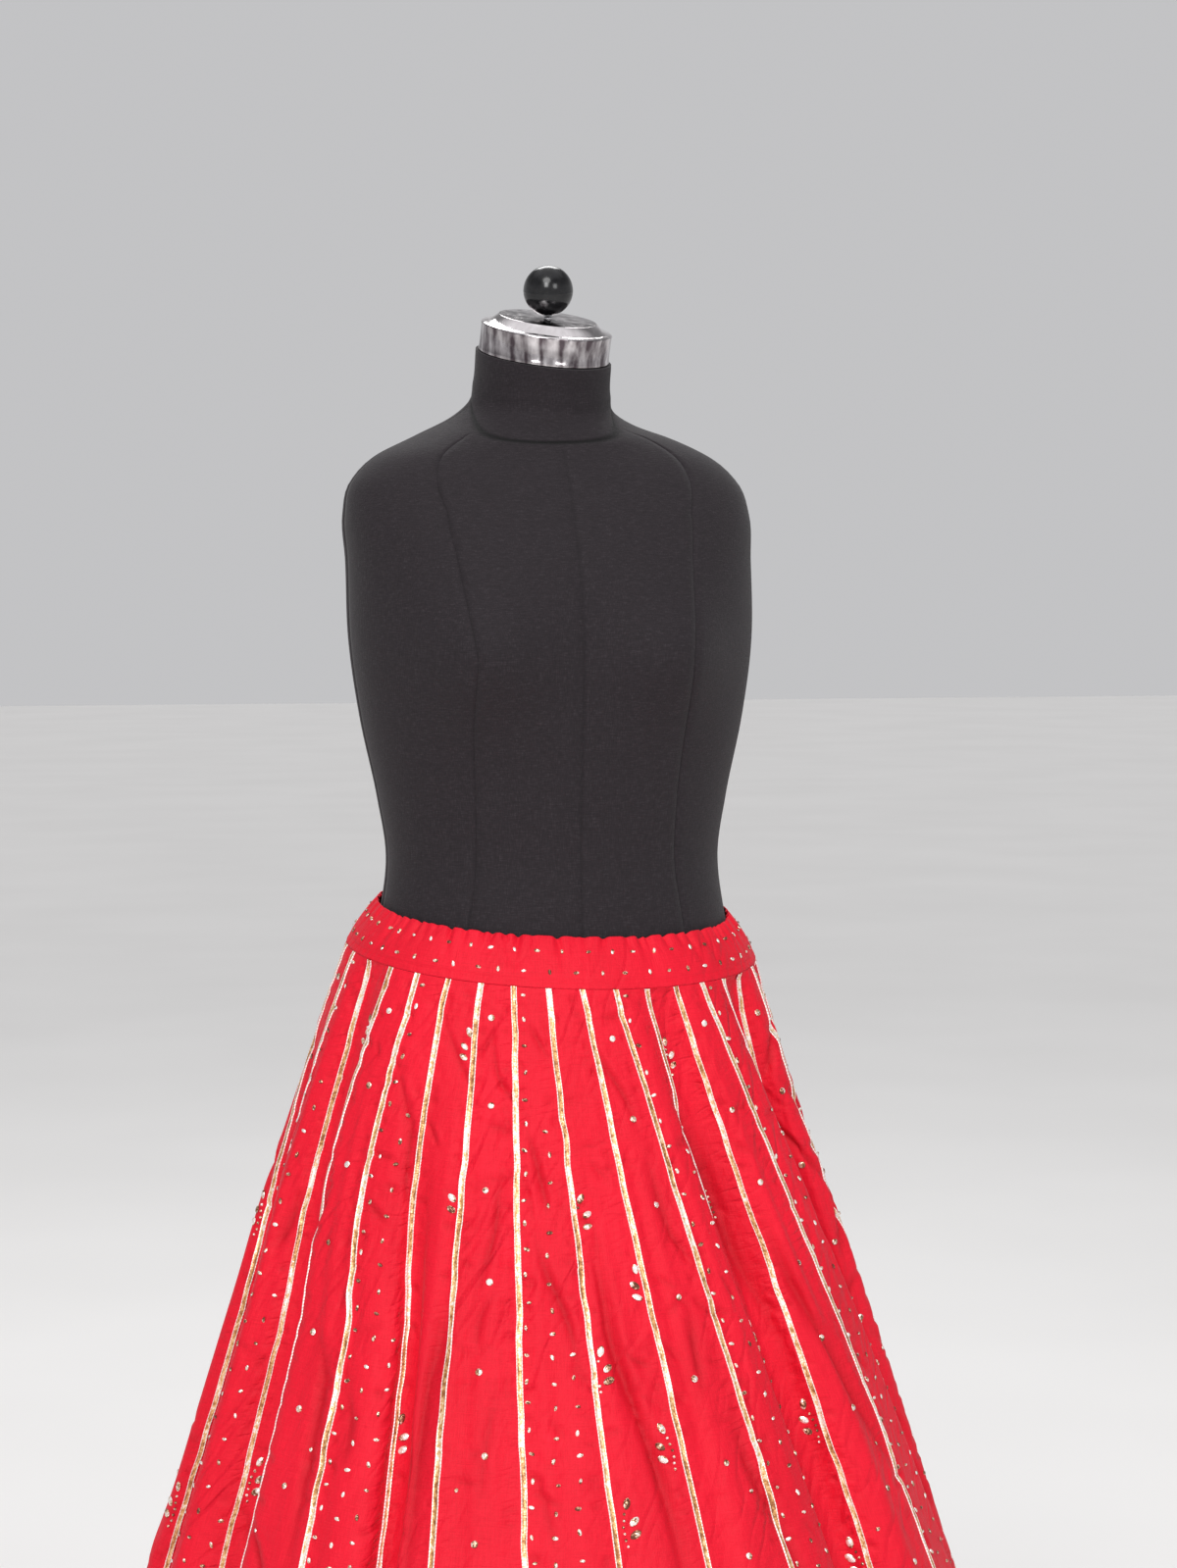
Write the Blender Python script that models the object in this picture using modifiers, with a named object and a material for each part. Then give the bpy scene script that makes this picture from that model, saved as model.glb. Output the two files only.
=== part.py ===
"""A 36-kali lehenga skirt on a limbless dress form.

Metres, +Z up. The origin is the centre of the base plate's underside, and the front of
the form faces -Y. The skirt is worked out from its cut: each row of cloth is as long as
the kalis are wide there, the outline is an even flare, and the cloth that the outline
has no room for falls into the folds.
"""
import math
from collections import namedtuple

import bpy
import numpy as np

# ---------------------------------------------------------------- the skirt's cut
KALI_COUNT = 36
KALI_HEM_WIDTH = 0.123
KALI_LENGTH = 1.030
CLOTH_WALL = 0.0015
SEAM_GAP = 0.0003
GOTA_WIDTH = 0.005
GOTA_RISE = 0.0006
GOTA_EDGE = 0.0004
GOTA_COLUMNS = (0, 1, 2)

# ---------------------------------------------------------------- how the skirt hangs
SEAM_HEIGHT = 1.013
SEAM_HALF_WIDTH = 0.158
SEAM_ROUNDNESS = 0.80
HEM_HALF_WIDTH = 0.458
HEM_ROUNDNESS = 0.99
ROUND_BY = 0.62
WAIST_DIP = math.tan(math.radians(7.5))
WAIST_ROLL = math.tan(math.radians(2.0))
TIPS_END = 0.60
CENTRE_FRONT = 2.4
PLUMB_PLACE = 34.6
FOLD_SPREAD = 0.25
LIP_SHARE = 0.5
STEEPEST = 0.10

# Each fold is a valley in the cloth. place and half_width are counted in kalis round the
# skirt, share is its part of the spare cloth, and start is how far down it begins.
Fold = namedtuple("Fold", "place half_width share start")
FROM_BAND = -0.12
FOLDS = (
    Fold(2.1, 0.60, 0.2, 0.26),
    Fold(4.5, 1.10, 1.0, FROM_BAND),
    Fold(7.8, 1.10, 1.4, FROM_BAND),
    Fold(10.3, 1.05, 1.0, FROM_BAND),
    Fold(12.3, 0.90, 0.8, FROM_BAND),
    Fold(14.5, 1.15, 1.1, FROM_BAND),
    Fold(16.8, 1.00, 0.9, FROM_BAND),
    Fold(18.9, 1.05, 1.1, FROM_BAND),
    Fold(21.1, 0.95, 0.8, FROM_BAND),
    Fold(23.3, 1.15, 1.2, FROM_BAND),
    Fold(25.4, 1.00, 0.9, FROM_BAND),
    Fold(27.7, 1.00, 1.2, FROM_BAND),
    Fold(29.6, 0.80, 0.9, 0.02),
    Fold(31.4, 0.95, 0.8, FROM_BAND),
    Fold(34.2, 0.55, 0.6, 0.02),
)

# ---------------------------------------------------------------- how finely it is drawn
PLACES_PER_KALI = 24
SKIRT_ROWS = 11
ROW_CROWDING = 1.45
CLOTH_STEPS = 4

# ---------------------------------------------------------------- waistband
BAND_TOP_HEIGHT = 1.0465
BAND_WALL = 0.0020
BAND_CLEARANCE = 0.0008
BAND_BULGE = 0.0012
BAND_COLUMNS = 192
BAND_ROWS = 4
PUCKERS = 48
PUCKER_DEPTH = 0.0009
PUCKER_LIFT = 0.0011
PUCKER_LONG_WAVES = 7

# ---------------------------------------------------------------- dress form
# Each section is a rounded outline. height is at its centre, and squareness is 2 for an
# ellipse and more for a squarer one. lean tips the section towards the front and roll
# towards +X, in degrees.
Section = namedtuple("Section", "height half_width front back centre squareness lean roll")
FORM_SECTIONS = (
    Section(0.800, 0.150, 0.104, 0.112, 0.000, 2.1, 0.0, 0.0),
    Section(0.812, 0.161, 0.112, 0.121, 0.000, 2.1, 0.0, 0.0),
    Section(0.860, 0.168, 0.116, 0.128, 0.000, 2.1, 0.0, 0.0),
    Section(0.930, 0.161, 0.110, 0.122, 0.000, 2.1, 0.0, 0.0),
    Section(1.000, 0.1435, 0.104, 0.108, 0.000, 2.1, 0.0, 0.0),
    Section(1.045, 0.1325, 0.1005, 0.100, 0.000, 2.1, 0.0, 0.0),
    Section(1.085, 0.1280, 0.0960, 0.0930, 0.000, 2.1, 0.0, 0.0),
    Section(1.130, 0.1345, 0.0990, 0.0950, 0.001, 2.1, 0.0, 0.0),
    Section(1.190, 0.1470, 0.1060, 0.1000, 0.003, 2.15, 0.0, 0.0),
    Section(1.250, 0.1550, 0.1110, 0.1030, 0.006, 2.2, 0.0, 0.0),
    Section(1.310, 0.1560, 0.1040, 0.1000, 0.012, 2.3, 0.0, 0.0),
    Section(1.345, 0.1570, 0.0910, 0.0940, 0.018, 2.35, 0.0, 0.0),
    Section(1.370, 0.1500, 0.0800, 0.0860, 0.024, 2.3, 0.0, 0.0),
    Section(1.390, 0.1290, 0.0700, 0.0770, 0.029, 2.25, 1.0, 0.0),
    Section(1.405, 0.0980, 0.0630, 0.0690, 0.033, 2.15, 3.0, 0.0),
    Section(1.416, 0.0720, 0.0580, 0.0620, 0.036, 2.05, 6.0, 1.0),
    Section(1.426, 0.0575, 0.0545, 0.0565, 0.038, 2.0, 9.0, 2.0),
    Section(1.442, 0.0530, 0.0525, 0.0530, 0.036, 2.0, 12.0, 3.0),
    Section(1.466, 0.0520, 0.0520, 0.0520, 0.030, 2.0, 14.0, 4.0),
)
FORM_COLUMNS = 40
FORM_ROWS_BETWEEN = ((0.800, 1), (0.812, 1), (0.860, 1), (0.930, 1), (1.000, 2), (1.045, 1), (1.085, 1),
                     (1.130, 1), (1.190, 2), (1.250, 2), (1.310, 1), (1.345, 1), (1.370, 1), (1.390, 1),
                     (1.405, 1), (1.416, 1), (1.426, 1), (1.442, 1))
BUST_HEIGHT = 1.238
BUST_SIDE = 0.076
BUST_RISE = 0.024
BUST_SPREAD_ACROSS = 0.042
BUST_SPREAD_UP = 0.046

# ---------------------------------------------------------------- cap, knob and stand
SEAT_GAP = 0.0003
CAP_RADIUS = 0.0505
CAP_SIDE = 0.0215
CAP_SHOULDER = 0.0020
CAP_HEIGHT = 0.029
CAP_TOP_RADIUS = 0.0385
KNOB_RADIUS = 0.019
KNOB_CENTRE = 0.021
STEM_RADIUS = 0.0035
POLE_RADIUS = 0.014
BASE_RADIUS = 0.175
BASE_BOSS_RADIUS = 0.030
BASE_BOSS_HEIGHT = 0.020
BASE_DISH_HEIGHT = 0.013
BASE_RIM_HEIGHT = 0.009
BASE_EDGE = 0.003

Finish = namedtuple("Finish", "name colour metallic roughness")
RED_CLOTH = Finish("red_cloth", (0.70, 0.010, 0.022, 1.0), 0.0, 0.62)
GOTA_FOIL = Finish("gota_foil", (0.83, 0.62, 0.30, 1.0), 0.9, 0.32)
BLACK_JERSEY = Finish("black_jersey", (0.012, 0.012, 0.014, 1.0), 0.0, 0.85)
CHROME = Finish("chrome", (0.82, 0.82, 0.84, 1.0), 1.0, 0.10)
BLACK_GLOSS = Finish("black_gloss", (0.008, 0.008, 0.009, 1.0), 0.0, 0.08)
BRUSHED_STEEL = Finish("brushed_steel", (0.60, 0.60, 0.61, 1.0), 1.0, 0.30)
BASE_ENAMEL = Finish("base_enamel", (0.020, 0.020, 0.022, 1.0), 0.0, 0.35)


# ---------------------------------------------------------------- scene helpers
def clear_scene():
    for item in list(bpy.data.objects):
        bpy.data.objects.remove(item, do_unlink=True)


def material(finish):
    """The Principled material of a finish, made once."""
    found = bpy.data.materials.get(finish.name)
    if found:
        return found
    made = bpy.data.materials.new(finish.name)
    made.use_nodes = True
    shader = made.node_tree.nodes["Principled BSDF"]
    shader.inputs["Base Color"].default_value = finish.colour
    shader.inputs["Metallic"].default_value = finish.metallic
    shader.inputs["Roughness"].default_value = finish.roughness
    made.diffuse_color = finish.colour
    return made


def add_mesh_object(name, points, faces, finishes, collection, parent):
    mesh = bpy.data.meshes.new(name)
    mesh.from_pydata([tuple(point) for point in points], [], faces)
    mesh.validate()
    for finish in finishes:
        mesh.materials.append(material(finish))
    mesh.shade_smooth()
    mesh.set_sharp_from_angle(angle=math.radians(40))
    made = bpy.data.objects.new(name, mesh)
    made.parent = parent
    collection.objects.link(made)
    return made


def add_turned(name, profile, steps, finish, place, tips, collection, parent):
    """A turned solid, tipped by a lean and a roll. The profile runs down its outer side."""
    mesh = bpy.data.meshes.new(name)
    edges = [(i, i + 1) for i in range(len(profile) - 1)]
    mesh.from_pydata([(radius, 0.0, height) for radius, height in profile], edges, [])
    mesh.materials.append(material(finish))
    made = bpy.data.objects.new(name, mesh)
    made.location = place
    made.rotation_euler = (*tips, 0.0)
    made.parent = parent
    collection.objects.link(made)
    screw = made.modifiers.new("turn", "SCREW")
    screw.steps = steps
    screw.render_steps = steps
    screw.use_merge_vertices = True
    screw.merge_threshold = 0.00001
    screw.use_smooth_shade = True
    return made


# ---------------------------------------------------------------- curves
def ease(value):
    """0 to 1 with level ends."""
    held = np.clip(value, 0.0, 1.0)
    return held * held * (3.0 - 2.0 * held)


def valley(offset):
    """A rounded valley, 1 at its middle and 0 from its edges outwards."""
    return 0.5 + 0.5 * np.cos(math.pi * np.clip(offset, -1.0, 1.0))


def ellipse_lengths(roundness):
    """Angles from the front, and the length round an ellipse of half width 1 up to each."""
    angles = np.linspace(0.0, 2.0 * math.pi, 1441)
    across = np.sin(angles)
    deep = -roundness * np.cos(angles)
    steps = np.hypot(np.diff(across), np.diff(deep))
    return angles, np.concatenate(([0.0], np.cumsum(steps)))


def through_table(column, heights):
    """A smooth curve through one column of the form's table, read at the heights."""
    known = np.array([section.height for section in FORM_SECTIONS])
    values = np.array([getattr(section, column) for section in FORM_SECTIONS])
    slopes = np.gradient(values, known)
    heights = np.clip(heights, known[0], known[-1])
    after = np.clip(np.searchsorted(known, heights), 1, len(known) - 1)
    span = known[after] - known[after - 1]
    t = (heights - known[after - 1]) / span
    level = values[after - 1] * (1.0 + 2.0 * t) * (1.0 - t) ** 2 + values[after] * t * t * (3.0 - 2.0 * t)
    lean = span * (slopes[after - 1] * t * (1.0 - t) ** 2 - slopes[after] * t * t * (1.0 - t))
    return level + lean


# ---------------------------------------------------------------- dress form
def form_outline(angles, heights, grow=0.0):
    """Points of the form's surface moved out by grow, at angles from the front."""
    heights = np.broadcast_to(np.asarray(heights, dtype=float), angles.shape)
    sines = np.sin(angles)
    cosines = np.cos(angles)
    power = 2.0 / through_table("squareness", heights)
    half_width = through_table("half_width", heights) + grow
    front = through_table("front", heights) + grow
    back = through_table("back", heights) + grow
    centre = through_table("centre", heights)
    x = half_width * np.sign(sines) * np.abs(sines) ** power
    depth = np.where(cosines > 0.0, front, back)
    y = -depth * np.sign(cosines) * np.abs(cosines) ** power
    up = np.exp(-((heights - BUST_HEIGHT) / BUST_SPREAD_UP) ** 2)
    across = np.exp(-((np.abs(x) - BUST_SIDE) / BUST_SPREAD_ACROSS) ** 2)
    y = y - BUST_RISE * up * across * np.clip(cosines, 0.0, 1.0) ** 0.5
    z = heights + np.tan(np.radians(through_table("lean", heights))) * y
    z = z - np.tan(np.radians(through_table("roll", heights))) * x
    return np.stack((x, y + centre, z), axis=-1)


def build_form(collection, parent):
    heights = []
    for index, (low, count) in enumerate(FORM_ROWS_BETWEEN):
        high = FORM_SECTIONS[index + 1].height
        heights.extend(low + (high - low) * step / count for step in range(count))
    heights.append(FORM_SECTIONS[-1].height)
    angles = 2.0 * math.pi * np.arange(FORM_COLUMNS) / FORM_COLUMNS
    points = np.concatenate([form_outline(angles, height) for height in heights])
    faces = [tuple(reversed(range(FORM_COLUMNS)))]
    for row in range(len(heights) - 1):
        for column in range(FORM_COLUMNS):
            beside = (column + 1) % FORM_COLUMNS
            low = row * FORM_COLUMNS
            high = low + FORM_COLUMNS
            faces.append((low + column, low + beside, high + beside, high + column))
    top = (len(heights) - 1) * FORM_COLUMNS
    faces.append(tuple(range(top, top + FORM_COLUMNS)))
    return add_mesh_object("form_torso", points, faces, [BLACK_JERSEY], collection, parent)


def arc(radius, centre_height, first, last, steps):
    """Profile points on a circle round the axis, angles in degrees up from level."""
    turned = []
    for step in range(steps + 1):
        angle = math.radians(first + (last - first) * step / steps)
        turned.append((radius * math.cos(angle), centre_height + radius * math.sin(angle)))
    return turned


def build_stand(collection, parent):
    neck = FORM_SECTIONS[-1]
    roll = math.radians(neck.roll)
    lean = math.atan(math.tan(math.radians(neck.lean)) * math.cos(roll))
    along = np.array((math.cos(lean) * math.sin(roll), -math.sin(lean), math.cos(lean) * math.cos(roll)))
    cap_seat = np.array((0.0, neck.centre, neck.height)) + along * SEAT_GAP
    cap = [
        (0.0, CAP_HEIGHT),
        (CAP_TOP_RADIUS, CAP_HEIGHT),
        (CAP_TOP_RADIUS + CAP_SHOULDER, CAP_HEIGHT - CAP_SHOULDER / 2),
        (CAP_RADIUS - CAP_SHOULDER / 2, CAP_SIDE + CAP_SHOULDER),
        (CAP_RADIUS, CAP_SIDE),
        (CAP_RADIUS, 0.0),
        (0.0, 0.0),
    ]
    add_turned("neck_cap", cap, 32, CHROME, cap_seat, (lean, roll), collection, parent)

    knob_seat = cap_seat + along * (CAP_HEIGHT + SEAT_GAP)
    stem_angle = -math.degrees(math.acos(STEM_RADIUS / KNOB_RADIUS))
    knob = [(0.0, KNOB_CENTRE + KNOB_RADIUS)]
    knob += arc(KNOB_RADIUS, KNOB_CENTRE, 75.0, stem_angle, 9)
    knob += [(STEM_RADIUS, 0.0), (0.0, 0.0)]
    add_turned("cap_knob", knob, 20, BLACK_GLOSS, knob_seat, (lean, roll), collection, parent)

    pole_top = FORM_SECTIONS[0].height - SEAT_GAP
    pole_foot = BASE_BOSS_HEIGHT + SEAT_GAP
    pole = [(0.0, pole_top), (POLE_RADIUS, pole_top), (POLE_RADIUS, pole_foot), (0.0, pole_foot)]
    add_turned("stand_pole", pole, 24, BRUSHED_STEEL, (0.0, 0.0, 0.0), (0.0, 0.0), collection, parent)

    base = [
        (0.0, BASE_BOSS_HEIGHT),
        (BASE_BOSS_RADIUS - BASE_EDGE, BASE_BOSS_HEIGHT),
        (BASE_BOSS_RADIUS, BASE_DISH_HEIGHT),
        (BASE_RADIUS - BASE_EDGE, BASE_RIM_HEIGHT),
        (BASE_RADIUS, BASE_RIM_HEIGHT - BASE_EDGE),
        (BASE_RADIUS, 0.0),
        (0.0, 0.0),
    ]
    add_turned("stand_base", base, 40, BASE_ENAMEL, (0.0, 0.0, 0.0), (0.0, 0.0), collection, parent)


# ---------------------------------------------------------------- skirt
def fold_shape(places, down):
    """How deep the cloth lies in its folds, as shares, at places counted in kalis."""
    shape = np.zeros_like(places)
    for fold in FOLDS:
        begun = ease((down - fold.start) / FOLD_SPREAD)
        half_round = KALI_COUNT / 2
        offset = (places - fold.place + half_round) % KALI_COUNT - half_round
        shape += fold.share * begun * valley(offset / fold.half_width)
    return shape


def seam_ring():
    """Length round the waistband's lower seam."""
    return SEAM_HALF_WIDTH * ellipse_lengths(SEAM_ROUNDNESS)[1][-1]


def waist_rise(x, y):
    """The waist sits low at the front, and a little low at the +X side."""
    return WAIST_DIP * y - WAIST_ROLL * x


def kali_width(down):
    top_width = seam_ring() / KALI_COUNT
    return top_width + (KALI_HEM_WIDTH - top_width) * down


def take_up(width, slope, target):
    """Depth of a whole share and the lengths gone round, so that the row fits its outline."""
    def lengths(depth):
        ahead = np.sqrt(np.maximum(width ** 2 - (depth * slope) ** 2, (STEEPEST * width) ** 2))
        steps = (ahead[1:] + ahead[:-1]) / 2 / PLACES_PER_KALI
        return np.concatenate(([0.0], np.cumsum(steps)))

    shallow = 0.0
    deep = 6.0 * width
    for _ in range(40):
        middle = (shallow + deep) / 2
        if lengths(middle)[-1] > target:
            shallow = middle
        else:
            deep = middle
    gone = lengths(deep)
    return deep, gone * target / gone[-1]


class SkirtRow:
    """One level row of cloth, from down 0 at the waistband to down 1 at the hem."""

    def __init__(self, down):
        self.width = kali_width(down)
        half_width = SEAM_HALF_WIDTH + (HEM_HALF_WIDTH - SEAM_HALF_WIDTH) * down
        roundness = SEAM_ROUNDNESS + (HEM_ROUNDNESS - SEAM_ROUNDNESS) * ease(down / ROUND_BY)
        angles, unit_lengths = ellipse_lengths(roundness)
        target = half_width * unit_lengths[-1]

        self.places = np.arange(KALI_COUNT * PLACES_PER_KALI + 1) / PLACES_PER_KALI
        shape = fold_shape(self.places, down)
        slope = np.gradient(shape, self.places)
        depth, gone = take_up(self.width, slope, target)

        plumb_gone = np.interp(PLUMB_PLACE, self.places, gone)
        plumb = half_width * np.interp(self.plumb_angle(), angles, unit_lengths)
        turned = (gone - plumb_gone + plumb) % target
        angle = np.interp(turned / half_width, unit_lengths, angles)

        across = np.sin(angle)
        deep = -np.cos(angle)
        out = np.stack((across * roundness, deep), axis=-1)
        out /= np.linalg.norm(out, axis=-1, keepdims=True)
        inward = depth * shape
        inward -= LIP_SHARE * inward.mean()
        outline = half_width * np.stack((across, deep * roundness), axis=-1)
        self.flat = outline - out * inward[:, None]

        leaning = math.sqrt(KALI_LENGTH ** 2 - (HEM_HALF_WIDTH - SEAM_HALF_WIDTH) ** 2)
        self.level = SEAM_HEIGHT - leaning * down
        self.tipped = 1.0 - float(ease(down / TIPS_END))
        self.normals = self.across_row(self.flat)

    @staticmethod
    def plumb_angle():
        """Where the seam that hangs straight down leaves the waistband."""
        angles, unit_lengths = ellipse_lengths(SEAM_ROUNDNESS)
        turned = (PLUMB_PLACE - CENTRE_FRONT) / KALI_COUNT
        return np.interp(turned * unit_lengths[-1], unit_lengths, angles)

    @staticmethod
    def across_row(flat):
        """Unit directions out of the cloth, level, one for each point of a closed row."""
        ring = flat[:-1]
        along = np.roll(ring, -1, axis=0) - np.roll(ring, 1, axis=0)
        along /= np.linalg.norm(along, axis=1, keepdims=True)
        out = np.stack((along[:, 1], -along[:, 0]), axis=-1)
        return np.concatenate((out, out[:1]))

    def point(self, place, out):
        """The point at a place in kalis, moved out of the cloth's outer face."""
        place = place % KALI_COUNT
        x = np.interp(place, self.places, self.flat[:, 0])
        y = np.interp(place, self.places, self.flat[:, 1])
        normal = np.array([np.interp(place, self.places, self.normals[:, axis]) for axis in (0, 1)])
        normal /= np.linalg.norm(normal)
        x += normal[0] * out
        y += normal[1] * out
        return (x, y, self.level + self.tipped * waist_rise(x, y))


def kali_columns(index, width):
    """Places of a kali's columns, each with its rise: the gota strip, then even steps."""
    start = index + SEAM_GAP / 2 / width
    near = start + GOTA_EDGE / width
    far = near + GOTA_WIDTH / width
    foot = far + GOTA_EDGE / width
    end = index + 1 - SEAM_GAP / 2 / width
    steps = [foot + (end - foot) * step / CLOTH_STEPS for step in range(CLOTH_STEPS + 1)]
    outer = [(start, 0.0), (near, GOTA_RISE), (far, GOTA_RISE)] + [(place, 0.0) for place in steps]
    inner = [(place, -CLOTH_WALL) for place in [start] + steps]
    return outer, inner


def build_kali(index, rows, collection, parent):
    """One panel: a plain inside, and an outside with the gota strip raised at one edge."""
    points = []
    for row in rows:
        outer, inner = kali_columns(index, row.width)
        ring = outer + inner[::-1]
        points += [row.point(place, out) for place, out in ring]
    ring_count = len(ring)
    faces = [tuple(range(ring_count))]
    for low in range(len(rows) - 1):
        for column in range(ring_count):
            beside = (column + 1) % ring_count
            upper = low * ring_count
            lower = upper + ring_count
            face = (upper + column, lower + column, lower + beside, upper + beside)
            if column == ring_count - 1:
                # Both kalis fold this seam's edge along the same diagonal.
                face = face[1:] + face[:1]
            faces.append(face)
    last = (len(rows) - 1) * ring_count
    faces.append(tuple(reversed(range(last, last + ring_count))))
    name = f"kali_{index + 1:02d}"
    made = add_mesh_object(name, points, faces, [RED_CLOTH, GOTA_FOIL], collection, parent)
    for low in range(len(rows) - 1):
        for column in GOTA_COLUMNS:
            made.data.polygons[1 + low * ring_count + column].material_index = 1
    return made


def build_skirt(collection, parent):
    rows = [SkirtRow((step / SKIRT_ROWS) ** ROW_CROWDING) for step in range(SKIRT_ROWS + 1)]
    for index in range(KALI_COUNT):
        build_kali(index, rows, collection, parent)


# ---------------------------------------------------------------- waistband
def seam_outline(angles, out):
    """Points of the waistband's lower edge, moved out of the seam's ellipse."""
    x = SEAM_HALF_WIDTH * np.sin(angles)
    y = -SEAM_HALF_WIDTH * SEAM_ROUNDNESS * np.cos(angles)
    normal = np.stack((SEAM_ROUNDNESS * np.sin(angles), -np.cos(angles)), axis=-1)
    normal /= np.linalg.norm(normal, axis=-1, keepdims=True)
    x = x + normal[:, 0] * out
    y = y + normal[:, 1] * out
    return np.stack((x, y, SEAM_HEIGHT + SEAM_GAP + waist_rise(x, y)), axis=-1), normal


def seat_outline(angles, out):
    """Points round the form where the waistband's top edge sits, moved out of the form."""
    heights = np.full(angles.shape, BAND_TOP_HEIGHT)
    for _ in range(6):
        points = form_outline(angles, heights, out)
        heights = BAND_TOP_HEIGHT + waist_rise(points[:, 0], points[:, 1])
    return points


def build_waistband(collection, parent):
    """A gathered casing: plain inside, puckered outside, its top edge drawn in on the form."""
    angles = 2.0 * math.pi * np.arange(BAND_COLUMNS) / BAND_COLUMNS
    foot_out, normal = seam_outline(angles, 0.0)
    foot_in, _ = seam_outline(angles, -BAND_WALL)
    top_out = seat_outline(angles, BAND_CLEARANCE + BAND_WALL)
    top_in = seat_outline(angles, BAND_CLEARANCE)
    unevenness = 0.75 + 0.25 * np.sin(PUCKER_LONG_WAVES * angles + 1.0)
    pucker = (0.5 - 0.5 * np.cos(PUCKERS * angles)) * unevenness
    top_out[:, 2] -= PUCKER_LIFT * pucker
    top_in[:, 2] -= PUCKER_LIFT * pucker

    rings = []
    for step in range(BAND_ROWS + 1):
        up = step / BAND_ROWS
        ring = foot_out * (1.0 - up) + top_out * up
        out = BAND_BULGE * math.sin(math.pi * up) - PUCKER_DEPTH * pucker * up ** 1.5
        ring[:, :2] += normal * np.broadcast_to(out, angles.shape)[:, None]
        rings.append(ring)
    rings += [top_in, foot_in]
    faces = []
    for ring in range(len(rings)):
        here = ring * BAND_COLUMNS
        there = (ring + 1) % len(rings) * BAND_COLUMNS
        for column in range(BAND_COLUMNS):
            beside = (column + 1) % BAND_COLUMNS
            faces.append((here + column, here + beside, there + beside, there + column))
    return add_mesh_object("waistband", np.concatenate(rings), faces, [RED_CLOTH], collection, parent)


def main():
    clear_scene()
    collection = bpy.data.collections.new("lehenga_skirt_on_form")
    bpy.context.scene.collection.children.link(collection)
    parent = bpy.data.objects.new("stand_axis", None)
    collection.objects.link(parent)
    build_stand(collection, parent)
    build_form(collection, parent)
    build_waistband(collection, parent)
    build_skirt(collection, parent)


main()
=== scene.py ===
"""The looks of a 36-kali lehenga skirt on a limbless dress form.

Metres, +Z up, the form's front faces -Y. The hanging cloth is worked out from the same cut
as the solids: every kali, gota strip, metal dot and sprig is placed by where it lies on the
cloth, counted in kalis round the skirt and in shares of a kali's length down from the band.
"""
import math
import random
from collections import namedtuple

import bpy
import numpy as np
from mathutils import Euler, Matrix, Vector


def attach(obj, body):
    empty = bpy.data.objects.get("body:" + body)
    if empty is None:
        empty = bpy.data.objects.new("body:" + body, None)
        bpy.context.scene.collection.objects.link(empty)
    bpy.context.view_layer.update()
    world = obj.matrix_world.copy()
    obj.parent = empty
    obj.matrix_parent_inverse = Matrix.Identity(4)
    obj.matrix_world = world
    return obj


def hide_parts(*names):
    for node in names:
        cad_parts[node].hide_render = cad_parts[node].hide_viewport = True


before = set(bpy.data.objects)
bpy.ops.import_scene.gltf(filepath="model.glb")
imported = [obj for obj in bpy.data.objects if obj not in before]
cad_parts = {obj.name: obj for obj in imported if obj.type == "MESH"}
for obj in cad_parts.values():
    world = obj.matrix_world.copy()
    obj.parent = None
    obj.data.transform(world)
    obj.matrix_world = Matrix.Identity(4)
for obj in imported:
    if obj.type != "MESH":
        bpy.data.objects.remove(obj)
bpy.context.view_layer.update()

BODY = "root"

# ---------------------------------------------------------------- the skirt's cut
KALI_COUNT = 36
KALI_HEM_WIDTH = 0.123
KALI_LENGTH = 1.030
GOTA_WIDTH = 0.005
GOTA_EDGE = 0.0004
CLOTH_THICKNESS = 0.0009

# ---------------------------------------------------------------- how the skirt hangs
SEAM_HEIGHT = 1.013
SEAM_HALF_WIDTH = 0.158
SEAM_ROUNDNESS = 0.80
HEM_HALF_WIDTH = 0.458
HEM_ROUNDNESS = 0.99
ROUND_BY = 0.62
WAIST_DIP = math.tan(math.radians(7.5))
WAIST_ROLL = math.tan(math.radians(2.0))
TIPS_END = 0.60
CENTRE_FRONT = 2.4
PLUMB_PLACE = 34.6
FOLD_SPREAD = 0.25
LIP_SHARE = 0.5
STEEPEST = 0.10
DEEPEST_FOLD = 6.0
HALVINGS = 40

# Each fold is a valley in the cloth. place and half_width are counted in kalis round the
# skirt, share is its part of the spare cloth, and start is how far down it begins.
Fold = namedtuple("Fold", "place half_width share start")
FROM_BAND = -0.12
FOLDS = (
    Fold(2.1, 0.60, 0.2, 0.26),
    Fold(4.5, 1.10, 1.0, FROM_BAND),
    Fold(7.8, 1.10, 1.4, FROM_BAND),
    Fold(10.3, 1.05, 1.0, FROM_BAND),
    Fold(12.3, 0.90, 0.8, FROM_BAND),
    Fold(14.5, 1.15, 1.1, FROM_BAND),
    Fold(16.8, 1.00, 0.9, FROM_BAND),
    Fold(18.9, 1.05, 1.1, FROM_BAND),
    Fold(21.1, 0.95, 0.8, FROM_BAND),
    Fold(23.3, 1.15, 1.2, FROM_BAND),
    Fold(25.4, 1.00, 0.9, FROM_BAND),
    Fold(27.7, 1.00, 1.2, FROM_BAND),
    Fold(29.6, 0.80, 0.9, 0.02),
    Fold(31.4, 0.95, 0.8, FROM_BAND),
    Fold(34.2, 0.55, 0.6, 0.02),
)

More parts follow.
